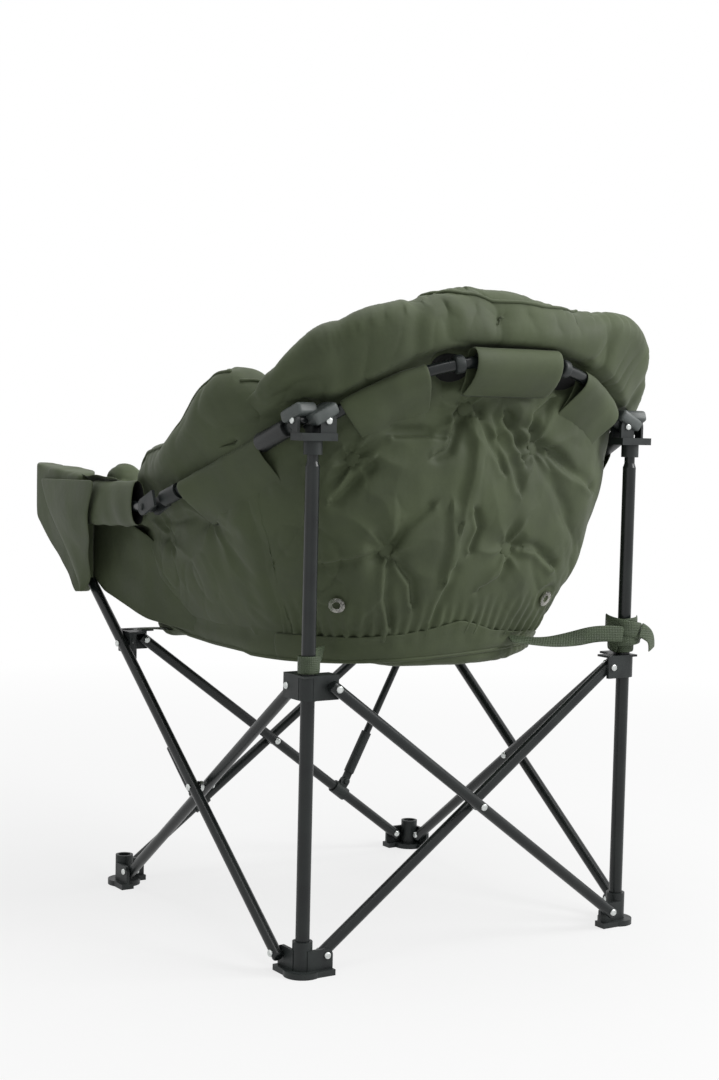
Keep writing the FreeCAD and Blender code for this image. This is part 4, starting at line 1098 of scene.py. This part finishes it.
def lay_on(shape, wall, from_mm, to_mm, frames, lift_mm=-2.5):
    """Lay the part of a sweep that hangs below from_mm on the wall of a pad, fully so at to_mm."""
    for vert in shape.verts:
        frame = min(frames, key=lambda f: (f.translation - vert.co).length_squared)
        local = frame.inverted() @ vert.co
        share = min(max((-local.y / MM - from_mm) / (to_mm - from_mm), 0), 1)
        if share == 0:
            continue
        out = frame.col[0].xyz
        hit = wall.ray_cast(vert.co + out * LAY_FROM_M, -out)[0]
        if hit:
            vert.co = vert.co.lerp(hit + out * lift_mm * MM, share)

# %% [markdown]
# Beside the flap, two openings in the cloth show dark. A hole would break the pad's closed skin, so
# the shade in each is painted: a thin near-black lens, laid in the hollow that was pressed for it.

# %% Cut-outs
CUT_OUT_HALF_MM = (25, 19, 1.5)
bucket = tree_of(back_pad, left_pad, right_pad)


def wall_point(degrees, height):
    """Where a level ray towards the bowl's axis meets the bucket's outer cloth, and the cloth's normal."""
    out = out_at(degrees)
    return bucket.ray_cast(at(0, 0, height) + out * RAY_FROM_M, -out)[:2]


def patch(name, degrees, height, half_mm, material):
    """A thin oval lens of cloth laid on the back."""
    shape = bmesh.new()
    bmesh.ops.create_uvsphere(shape, u_segments=32, v_segments=20, radius=1.0)
    for vert in shape.verts:
        turn = math.degrees(vert.co.x * half_mm[0] / CLOTH_RADIUS_MM)
        hit = wall_point(degrees + turn, height + vert.co.y * half_mm[1])[0]
        vert.co = hit + outward_of(hit) * vert.co.z * half_mm[2] * MM
    laid = new_object(name, shape, material)
    belongs(laid, "rear_left_post", squash=SQUASH_X)


# Each lens is painted shade, near black where the opening shows dark.
for label, place in zip(("left", "right"), CUT_OUTS):
    patch(label + "_cut_out", *place, CUT_OUT_HALF_MM, coating_and_painted_shade)
print("cut-outs laid:", len(CUT_OUTS))

# %% [markdown]
# The back panel hangs on the hoop: its top edge is folded over each back tube and sewn down. The
# sleeve is that fold, a drop shape round the tube whose tail lies on the padded back.

# %% Back sleeves and centre flap
BACK_START, HOOP_MID, HOOP_END = at(236.55, 270, 741.8), at(138, 322, 797), at(34, 343, 816)
SLEEVE_T, CLOTH_T = 1.6, 1.8
SLEEVE_SPAN, SLEEVE_LAID_MM, SLEEVE_CRUMPLE = (0.05, 0.57, 18), (14, 56), (26, 1.6)
SLEEVE_OUTLINE = ((-4, -58), (-6, -30), (-9, -10), (-10, 0), (-7, 7.4), (0, 10.6), (7.4, 7.6), (10.6, 0),
                  (10, -12), (7, -26), (4, -42), (-2, -58))


def back_facing(point):
    """Away from the back, which is flatter than a circle."""
    return Vector((point.x * 0.5, point.y - ROW_SHIFT, 0)).normalized()


def crumple(shape, size_mm, depth_mm, seed):
    """Small creases in loose cloth."""
    shape.normal_update()
    for vert in shape.verts:
        vert.co += vert.normal * depth_mm * MM * ripple(vert.co, size_mm, seed)


def hoop_points(side, places):
    """Points on a back tube's axis, at shares of the way from the bracket to the middle."""
    return on_side(arc_points(BACK_START, HOOP_MID, HOOP_END, places), side)


SIDES = ((1, "left"), (-1, "right"))
for side, label in SIDES:
    sleeve_frames = upright_frames(hoop_points(side, shares(*SLEEVE_SPAN)), back_facing)
    sleeve_shape = sweep(SLEEVE_OUTLINE, sleeve_frames, closed=False)
    lay_on(sleeve_shape, bucket, *SLEEVE_LAID_MM, sleeve_frames)
    crumple(sleeve_shape, *SLEEVE_CRUMPLE, 11 + side)
    tube = label + "_back_tube"
    sleeve = cloth_piece(label + "_back_fold", sleeve_shape, SLEEVE_T, tube, label + "_back_sleeve")

FLAP_OUTLINE = ((-8, -48), (-11, -30), (-13, -6), (-12.8, 4), (-9, 14), (0, 18.5), (9.2, 14), (13.5, 4),
                (14, -12), (11, -32), (5, -48))
FLAP_LAID_MM, FLAP_CRUMPLE = (24, 60), (30, 1.4)
flap_path = [at(x, 343, 816) for x in (72, 60, 40, 20, 0, -20, -40, -60, -72)]
flap_frames = upright_frames(flap_path, back_facing)
flap_shape = sweep(FLAP_OUTLINE, flap_frames, closed=False)
lay_on(flap_shape, bucket, *FLAP_LAID_MM, flap_frames)
crumple(flap_shape, *FLAP_CRUMPLE, 21)
flap = cloth_piece("hoop_flap", flap_shape, CLOTH_T, "rear_left_post", "centre_flap", SQUASH_X)


RING_ROUND_M = 0.003


def ring_on(name, points, radius_mm, material, body):
    """A bevelled collar round a tube, from the first to the last of three points on its axis."""
    shape = bmesh.new()
    run = points[2] - points[0]
    turn = run.to_track_quat("Z", "Y").to_matrix().to_4x4()
    bmesh.ops.create_cone(shape, cap_ends=True, segments=40, radius1=radius_mm[0] * MM,
                          radius2=radius_mm[1] * MM, depth=run.length,
                          matrix=Matrix.Translation(points[1]) @ turn)
    rims = [edge for edge in shape.edges if any(len(face.verts) > 4 for face in edge.link_faces)]
    bmesh.ops.bevel(shape, geom=rims, offset=RING_ROUND_M, affect="EDGES", segments=3, profile=0.5,
                    material=-1)
    belongs(new_object(name, shape, material), body)


COLLAR_AT, COLLAR_R = (0.735, 0.765, 0.795), (12.5, 12.5)
for side, label in SIDES:
    ring_on(label + "_hoop_collar", hoop_points(side, COLLAR_AT), COLLAR_R, nylon, label + "_back_tube")
print("sleeves and flap hang on the hoop")

# %% [markdown]
# Each arm tube runs in a cloth casing on the outside of the bucket, between the knuckle and a soft
# black dip that covers the tube's end at the bracket. The casing is another drop-shaped fold.

# %% Arm casings and dipped ends
ARM_START, ARM_KNUCKLE = at(282, 258, 732), at(343, -52, 603)
CASING_TOP_MM, CASING_KEEP = 10.6, 0.55
CASING_SPAN, CASING_LAID_MM, CASING_CRUMPLE = (0.24, 0.77, 18), (10, 56), (24, 1.6)
DIP_SPAN, DIP_R = (0.085, 0.25, 3), (12.5, 13.5)
CASING_OUTLINE = ((-6, -60), (-9, -18), (-10.6, 0), (-7.5, 7.5), (0, 10.6), (7.5, 7.5), (10.6, 0), (10, -14),
                  (7, -32), (0, -60))


def arm_facing(point):
    """Away from the side, turned a little to the back."""
    return Vector((math.copysign(1, point.x), 0.15, 0)).normalized()


def arm_path(side, first, last, count):
    """Points on a rear arm tube's axis, between two shares of its length."""
    return on_side([ARM_START.lerp(ARM_KNUCKLE, share) for share in shares(first, last, count)], side)


for side, label in SIDES:
    casing_frames = upright_frames(arm_path(side, *CASING_SPAN), arm_facing)
    casing_shape = sweep(CASING_OUTLINE, casing_frames, closed=False)
    lay_on(casing_shape, bucket, *CASING_LAID_MM, casing_frames)
    crumple(casing_shape, *CASING_CRUMPLE, 31 + side)
    across = casing_frames[0].col[1].xyz
    casing_top = casing_frames[0].translation + across * CASING_TOP_MM * MM
    casing_squash = dict(axis=across, anchor=casing_top, keep=CASING_KEEP)
    arm = label + "_arm_rear"
    casing = cloth_piece(label + "_arm_casing", casing_shape, SLEEVE_T, arm, squash=casing_squash)
    ring_on(label + "_arm_dip", arm_path(side, *DIP_SPAN), DIP_R, vinyl, arm)
print("arm casings and dipped ends made")

# %% [markdown]
# Where the hoop and the arm meet the bracket, a grey moulded cap sits on each tube's end and hides
# the ears. The caps ride on the tubes, so they turn with them when the chair folds.

# %% Bracket caps
BACK_PIVOT_AT, ARM_PIVOT_AT = at(254, 270, 732), at(282, 258, 732)
CAP_SIZE, CAP_UP, CAP_ROUND = (34.0, 17.0, 40.0), 10.5, 5.0


def cap(name, pivot, toward, side, body):
    """A rounded block over a pivot, along its tube."""
    path = on_side([pivot, pivot.lerp(toward, 0.05)], side)
    across = Vector((0, 0, 1)).cross(path[1] - path[0]).normalized()
    place = upright_frames(path, lambda point: across)[0]
    place.translation = path[0] + place.col[1].xyz * CAP_UP * MM
    shape = bmesh.new()
    bmesh.ops.create_cube(shape, size=1.0)
    bmesh.ops.scale(shape, vec=[size * MM for size in CAP_SIZE], verts=shape.verts)
    bmesh.ops.bevel(shape, geom=shape.edges[:], offset=CAP_ROUND * MM, affect="EDGES", segments=4,
                    profile=0.5, material=-1)
    bmesh.ops.transform(shape, matrix=place, verts=shape.verts)
    belongs(new_object(name, shape, grey_nylon), body)


for side, label in SIDES:
    cap(label + "_arm_cap", ARM_PIVOT_AT, ARM_KNUCKLE, side, label + "_arm_rear")
    cap(label + "_hoop_cap", BACK_PIVOT_AT, BACK_START, side, label + "_back_tube")
print("bracket caps made")

# %% [markdown]
# Over each arm's tip goes an angular canvas pocket that ties the arm to the long leg. It is stiff
# cloth rather than a pad, so its solid is remeshed and creased without blowing it up, and a
# separate flap is folded down over its outer face.

# %% Arm pockets
POCKET_LOW_X, POCKET_FILL, FLAP_BELLY, FLAP_STAND, FLAP_T = 306.0, 0.2, 5, 3, 2.0
POCKET_SKIN = ((-548, 300), (-507, 324), (-400, 334), (-300, 343), (-217, 349))
POCKET_IN = ((-390, 279), (-350, 292), (-304, 316))
FLAP_FRONT = ((-474, 626), (-466, 610), (-433, 573), (-402, 540), (-381, 479), (-354, 452))
FLAP_REAR = ((-222, 634), (-244, 595), (-268, 549), (-312, 510), (-322, 473), (-346, 454))


def pocket_skin(y, z):
    """How far out the pocket's outer face lies, in mm: wide at the arm, narrow at the leg below."""
    return POCKET_LOW_X + (along_table(POCKET_SKIN, y) - POCKET_LOW_X) * ease(470, 590, z)


def pocket_folds(point, _normal):
    """Height in mm of broad dents and of finer, upright creases."""
    tall = Vector((point.x, point.y, point.z * 0.4))
    return 1.6 * ripple(point, 60, 41) + 0.9 * ripple(tall, 22, 42)


def along_edge(edge, share):
    """A point part of the way down an edge of (y, z) pairs."""
    spot = share * (len(edge) - 1)
    low = min(int(spot), len(edge) - 2)
    return Vector(edge[low]).lerp(Vector(edge[low + 1]), spot - low)


def pocket_flap(side):
    """The outer flap: a grid whose rows run from the front edge to the rear edge."""
    shape = bmesh.new()
    bmesh.ops.create_grid(shape, x_segments=10, y_segments=14, size=0.5)
    for vert in shape.verts:
        across, down = vert.co.x + 0.5, 0.5 - vert.co.y
        place = along_edge(FLAP_FRONT, down).lerp(along_edge(FLAP_REAR, down), across)
        belly = FLAP_BELLY * math.sin(math.pi * across)
        vert.co = at(side * (pocket_skin(*place) + FLAP_STAND + belly), place.x, place.y)
    bmesh.ops.recalc_face_normals(shape, faces=shape.faces)
    crumple(shape, 40, 2.0, 43)
    return shape


for side, label in SIDES:
    pocket = pad_start(label + "_pocket", label + "_arm_pocket", 0.0, canvas)
    for vert in pocket.data.vertices:
        skin = pocket_skin(*side_place(vert.co)) * MM
        inside = along_table(POCKET_IN, side_place(vert.co)[0]) * MM
        vert.co.x = side * min(max(abs(vert.co.x), inside), skin)
    soften(pocket, 2)
    push(pocket, pocket_folds)
    subdivide(pocket)
    belongs(pocket, label + "_long_leg", label + "_arm_pocket")
    flap_grid = pocket_flap(side)
    flap_area = area_of(flap_grid)
    flap_sheet = cloth_piece(label + "_pocket_flap", flap_grid, FLAP_T, label + "_long_leg")
    print(pocket.name, "faces:", len(pocket.data.polygons))

# %% [markdown]
# Between the pocket and the knuckle the front arm tube runs in a loose sleeve of the same cloth.

# %% Front arm sleeves
ARM_TIP = at(311.8, -507, 581.6)
ARM_SLEEVE_SPAN, ARM_SLEEVE_CRUMPLE = (0.10, 0.60, 16), (30, 6.0)
ARM_SLEEVE_OUTLINE = ((-9, -24), (-12, 0), (-10, 24), (-4, 38), (5, 36), (10, 22), (12, 0), (9, -24),
                      (0, -31))
for side, label in SIDES:
    sleeve_path = on_side([ARM_KNUCKLE.lerp(ARM_TIP, share) for share in shares(*ARM_SLEEVE_SPAN)], side)
    sleeve_shape = sweep(ARM_SLEEVE_OUTLINE, upright_frames(sleeve_path, arm_facing), closed=True)
    crumple(sleeve_shape, *ARM_SLEEVE_CRUMPLE, 51 + side)
    arm = label + "_arm_front"
    arm_sleeve = cloth_piece(label + "_arm_sleeve", sleeve_shape, CLOTH_T, arm, inside=coating_and_painted_shade)
print("front arm sleeves made")

# %% [markdown]
# Below the arm the outer cloth runs on past the padding, down to the long leg and back under the
# bucket, and above the arm it runs in to the rim. Both pieces are grids stretched between two edges.

# %% Side aprons and arm tops
PANEL_SLACK = 6
APRON_TOP = ((292, -362, 592), (290, -290, 582), (280, -210, 560), (246, -110, 505))
APRON_LOW = ((288, -402, 506), (286, -325, 455), (262, -215, 420), (228, -80, 409))
ARM_TOP_OUT = ((330, -330, 638), (337, -260, 640), (336, -190, 637), (306, -108, 626))
ARM_TOP_IN = ((268, -330, 604), (268, -260, 606), (264, -190, 610), (264, -100, 636))


def cloth_between(upper, lower, side, slack_mm, seed):
    """A grid of loose cloth between two edges of points in mm."""
    shape = bmesh.new()
    bmesh.ops.create_grid(shape, x_segments=24, y_segments=16, size=0.5)
    for vert in shape.verts:
        along, down = vert.co.x + 0.5, 0.5 - vert.co.y
        place = along_edge(upper, along).lerp(along_edge(lower, along), down)
        slack = slack_mm * math.sin(math.pi * down) * math.sin(math.pi * min(along * 1.5, 1))
        vert.co = at(side * (place.x - slack), place.y, place.z - slack / 2)
    bmesh.ops.recalc_face_normals(shape, faces=shape.faces)
    crumple(shape, 42, 5.0, seed)
    return shape


for side, label in SIDES:
    for name, edges, flat in (("_side_apron", (APRON_TOP, APRON_LOW), (0.33, 0.16)),
                              ("_arm_top", (ARM_TOP_IN, ARM_TOP_OUT), (0.31, 0.06))):
        grid = cloth_between(*edges, side, PANEL_SLACK, 71)
        area = area_of(grid)
        panel = cloth_piece(label + name, grid, CLOTH_T, "rear_" + label + "_post", squash=SQUASH_Y)
        print(panel.name, "area in cm2:", round(area * 1e4))

# %% [markdown]
# Flat webbing ties the bucket to the hubs. Each rear tie is wound round its upright and runs to the
# seat's edge, the right one with a knot and a loose tail, and each front tie is a short tab.

# %% Webbing helpers
WEB_HALF, WEB_T, TIE_Z = 12.0, 2.2, 412.5
WEB_OUTLINE = ((0, -WEB_HALF), (0, -WEB_HALF / 3), (0, WEB_HALF / 3), (0, WEB_HALF))


def wound_path(side, turns, radii_mm, heights_mm, start_deg):
    """Points wound round a rear upright, from one radius and height to another."""
    steps = int(24 * turns)
    points = []
    for step in range(steps + 1):
        share = step / steps
        turn = math.radians(start_deg + 360 * turns * share)
        reach = radii_mm[0] + (radii_mm[1] - radii_mm[0]) * share
        height = heights_mm[0] + (heights_mm[1] - heights_mm[0]) * share
        across, behind = reach * math.cos(turn), reach * math.sin(turn)
        points.append(at(side * (POST_HALF + across), POST_HALF + behind, height))
    return points


def smooth_path(points, count):
    """Points on one smooth curve near a few guide points."""
    curve = bpy.data.curves.new("guide", "CURVE")
    curve.dimensions = "3D"
    spline = curve.splines.new("NURBS")
    spline.points.add(len(points) - 1)
    for knot, point in zip(spline.points, points):
        knot.co = (*point, 1.0)
    spline.order_u, spline.use_endpoint_u, spline.resolution_u = 3, True, count
    guide = bpy.data.objects.new("guide", curve)
    line = bpy.data.meshes.new_from_object(guide)
    found = [vert.co.copy() for vert in line.vertices]
    bpy.data.objects.remove(guide)
    bpy.data.meshes.remove(line)
    return found


def path_length(path):
    """The length of a line of points, in metres."""
    return sum((after - before).length for before, after in zip(path, path[1:]))


def web_strip(name, path, facing, body):
    """A webbing strip along a path; the length that it was cut to is printed."""
    strip = new_object(name, sweep(WEB_OUTLINE, frames_along(path, facing), closed=False), webbing)
    thicken(strip, WEB_T)
    belongs(strip, body)
    length = path_length(path)
    print(name, "length in mm:", round(length / MM))
    return strip


def post_facing(side):
    """Faces away from a rear upright."""
    centre = at(side * POST_HALF, POST_HALF, 0)
    return lambda point: Vector((point.x - centre.x, point.y - centre.y, 0)).normalized()

# %% Rear ties
left_wound = wound_path(1, 1.05, (12.2, 14.6), (TIE_Z, TIE_Z + 2), 150)
left_loop = web_strip("rear_left_tie", left_wound, post_facing(1), "rear_left_hub")
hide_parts("rear_left_strap")
left_run = smooth_path([at(262, 260, 412), at(240, 232, 414), at(215, 205, 416), at(196, 186, 414)], 8)
web_strip("rear_left_tie_run", left_run, back_facing, "rear_left_hub")

RIGHT_WINDINGS = (("rear_right_tie", 1.6, (12.2, 15.4), (TIE_Z + 10, TIE_Z - 2), 130),
                  ("rear_right_tie_knot", 1.4, (18, 25), (TIE_Z + 34, TIE_Z + 12), 20),
                  ("rear_right_tie_wrap", 1.2, (22, 27), (TIE_Z + 2, TIE_Z + 36), 150))
for name, *winding in RIGHT_WINDINGS:
    wound = web_strip(name, wound_path(-1, *winding), post_facing(-1), "rear_right_hub")
    if name == "rear_right_tie":
        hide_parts("rear_right_strap")


def twisted_facing(point):
    """Faces back at the knot and turns flat on the way to the bucket."""
    share = ease(-0.25, -0.1, point.x)
    return (back_facing(point) * (1 - 0.6 * share) + Vector((0, 0, 1)) * 0.9 * share).normalized()


right_run = smooth_path([at(-250, 292, 432), at(-215, 284, 436), at(-175, 262, 424), at(-130, 246, 420),
                         at(-84, 236, 428)], 10)
web_strip("rear_right_tie_run", right_run, twisted_facing, "rear_right_hub")
right_tail = smooth_path([at(-278, 297, 438), at(-291, 300, 432), at(-299, 299, 420), at(-301, 296, 408)], 8)
web_strip("rear_right_tie_tail", right_tail, back_facing, "rear_right_hub")

# %% Front ties
TAB_CROWN_M, TAB_START_UP_M, TAB_END_UP_M, TAB_END_X_M = 0.003, 0.0015, 0.004, 0.222
for side, label in ((1, "front_left"), (-1, "front_right")):
    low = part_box(label + "_strap")[0]
    start = Vector((side * (POST_HALF - 14) * MM, at(0, -256, 0).y, low.z + TAB_START_UP_M))
    end = Vector((side * TAB_END_X_M, at(0, -205, 0).y, low.z + TAB_END_UP_M))
    crown = start.lerp(end, 0.5) + Vector((0, 0, TAB_CROWN_M))
    tab_path = smooth_path([start, crown, end], 8)
    tab = web_strip(label + "_tie", tab_path, lambda point: Vector((0, 0, 1)), label + "_hub")
    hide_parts(label + "_strap")
print("front ties made")

# %% [markdown]
# A band of canvas closes the bucket below its walls and is gathered to them in a wavy seam, and a
# thin round piping runs along its lower edge. The band follows the cushions, whose cloth is found
# by shooting rays at it, so that it still fits where the cushions were blown up.

# %% Base band and hem piping
BASE_Z = ((-62, 418), (-32, 416), (-9, 411), (9, 407), (23, 404), (40, 401), (62, 399))
SEAM_Z = ((-62, 436), (-27, 435), (-11, 443), (3, 461), (13, 449), (23, 442), (40, 437), (62, 436))
BAND_OUTLINE = ((0, 0), (4, 0.18), (8, 0.42), (10, 0.7), (10, 1))
SIDE_BASE_Z, SIDE_BAND, BAND_FLAT = 402.0, 42.0, 70.0
BACK_BAND_LIFT_MM, SIDE_BAND_LIFT_MM, BAND_LAID = 2.0, -2.0, (0.3, 0.9)
RIM_PIPE_MM, HEM_PIPE_MM, BAND_RAY_M = 2.4, 3.0, 0.1
SIDE_RISE = ((-372, 96), (-300, 44), (-220, 14), (-140, 3), (-60, 0), (120, 0))


def bowl_point(degrees):
    """A point of the hem below the back."""
    angle, reach = math.radians(degrees), bowl_reach(degrees)
    return at(reach * math.sin(angle), reach * math.cos(angle), along_table(BASE_Z, degrees))


def piping(name, points, radius_mm, body, squash):
    """A round cord sewn along a line of points."""
    ring = [(radius_mm * math.cos(math.pi * i / 4), radius_mm * math.sin(math.pi * i / 4)) for i in range(8)]
    shape = sweep(ring, frames_along(points, outward_of), closed=True)
    ends = [edge for edge in shape.edges if edge.is_boundary]
    bmesh.ops.holes_fill(shape, edges=ends)
    bmesh.ops.recalc_face_normals(shape, faces=shape.faces)
    belongs(new_object(name, shape, canvas), body, squash=squash)


def base_band(label, path, seam_z, body, squash, top_lift_mm):
    """The band under a wall: its lower edge on the path, its upper edge at seam_z and laid on the wall."""
    shape = bmesh.new()
    rows = []
    for point, top in zip(path, seam_z):
        out = outward_of(point)
        row = []
        for swing, share in BAND_OUTLINE:
            spot = point + out * swing * MM
            spot.z += (top * MM - point.z) * share
            hit = bucket.ray_cast(spot + out * BAND_RAY_M, -out)[0]
            if hit:
                spot = spot.lerp(hit + out * top_lift_mm * MM, ease(*BAND_LAID, share))
            row.append(shape.verts.new(spot))
        rows.append(row)
    for before, after in zip(rows, rows[1:]):
        for low in range(len(BAND_OUTLINE) - 1):
            shape.faces.new((before[low], after[low], after[low + 1], before[low + 1]))
    bmesh.ops.recalc_face_normals(shape, faces=shape.faces)
    crumple(shape, 30, 1.4, 61)
    area = area_of(shape)
    band = cloth_piece(label + "_base_band", shape, CLOTH_T, body, squash=squash)
    length = path_length(path)
    piping(label + "_hem_piping", path, HEM_PIPE_MM, body, squash)
    print(band.name, "length in mm:", round(length / MM), "area in cm2:", round(area * 1e4))


back_turns = shares(-65, 65, 60)
back_path = [bowl_point(degrees) for degrees in back_turns]
back_seam = [along_table(SEAM_Z, degrees) for degrees in back_turns]
base_band("back", back_path, back_seam, "rear_left_post", SQUASH_X, BACK_BAND_LIFT_MM)
for side, label in SIDES:
    corner = [bowl_point(side * degrees) for degrees in shares(59, 78, 6)]
    run = []
    for y in shares(30, -232, 20):
        run.append(at(side * (BAND_OUT - 1), y, SIDE_BASE_Z + along_table(SIDE_RISE, y)))
    side_seam = [point.z / MM + SIDE_BAND for point in corner + run]
    base_band(label, corner + run, side_seam, "rear_" + label + "_post", SQUASH_Y, SIDE_BAND_LIFT_MM)

# %% [markdown]
# A second piping runs along the rim. Its line is not the CAD rim but the crest of the shaped
# cushions, so slanting rays find it, and hits that are far from the rim are left out.

# %% Rim piping
RIM_NEAR_MM, RIM_RAY_M, RIM_SLANT, RIM_PIPE_LIFT_M = 70.0, 0.3, 0.75, 0.0008
RIM_TOP_Z, RIM_FALL_MM, RIM_REACH_MM, RIM_END_DEG, SIDE_RIM_X = 880, 116, 315, 62, 300


def rim_hit(target, out):
    """Where a ray that comes in from outside and above meets a cushion, if that is on the rim."""
    slant = (out + Vector((0, 0, RIM_SLANT))).normalized()
    hit, normal = bucket.ray_cast(target + slant * RIM_RAY_M, -slant)[:2]
    if hit and (hit - target).length < RIM_NEAR_MM * MM:
        return hit + normal * RIM_PIPE_LIFT_M
    return None


def rim_line(targets):
    """A smooth line over the rim, near a row of (target, facing) pairs."""
    hits = [rim_hit(target, facing) for target, facing in targets]
    return smooth_path([hit for hit in hits if hit], 3)


back_targets = []
for degrees in shares(-63, 63, 90):
    rim_fall = (1 - math.cos(math.radians(degrees))) / (1 - math.cos(math.radians(RIM_END_DEG)))
    out = out_at(degrees)
    rim_z = RIM_TOP_Z - RIM_FALL_MM * rim_fall + along_table(RIM_LIFT, degrees)
    back_targets.append((at(out.x * RIM_REACH_MM, out.y * RIM_REACH_MM, rim_z), out))
piping("back_rim_piping", rim_line(back_targets), RIM_PIPE_MM, "rear_left_post", SQUASH_X)
for side, label in SIDES:
    side_targets = []
    for y in shares(140, -366, 48):
        rim_z = along_table(RIM_HEIGHTS, y) + along_table(SIDE_LIFT, y)
        side_targets.append((at(side * SIDE_RIM_X, y, rim_z), Vector((side, 0, 0))))
    piping(label + "_rim_piping", rim_line(side_targets), RIM_PIPE_MM, "rear_" + label + "_post", SQUASH_Y)

print("rim piping follows", len(back_targets), "targets on the back")

# %% [markdown]
# At each tuft a small disc of canvas is sewn on, which keeps the thread from pulling through. It is
# a flattened ball, turned to the cloth's own direction where a ray meets it.

# %% Tuft discs
DISC_R, DISC_T = 12.0, 3.0
for number, (degrees, height) in enumerate(TUFTS):
    hit, normal = wall_point(degrees, height)
    turn = normal.to_track_quat("Z", "Y").to_matrix().to_4x4()
    disc_shape = bmesh.new()
    bmesh.ops.create_uvsphere(disc_shape, u_segments=24, v_segments=12, radius=1.0)
    bmesh.ops.scale(disc_shape, vec=(DISC_R * MM, DISC_R * MM, DISC_T * MM), verts=disc_shape.verts)
    bmesh.ops.transform(disc_shape, matrix=Matrix.Translation(hit) @ turn, verts=disc_shape.verts)
    disc = new_object("tuft_disc_%d" % (number + 1), disc_shape, canvas)
    belongs(disc, "rear_left_post", squash=SQUASH_X)
print("tuft discs made:", len(TUFTS))
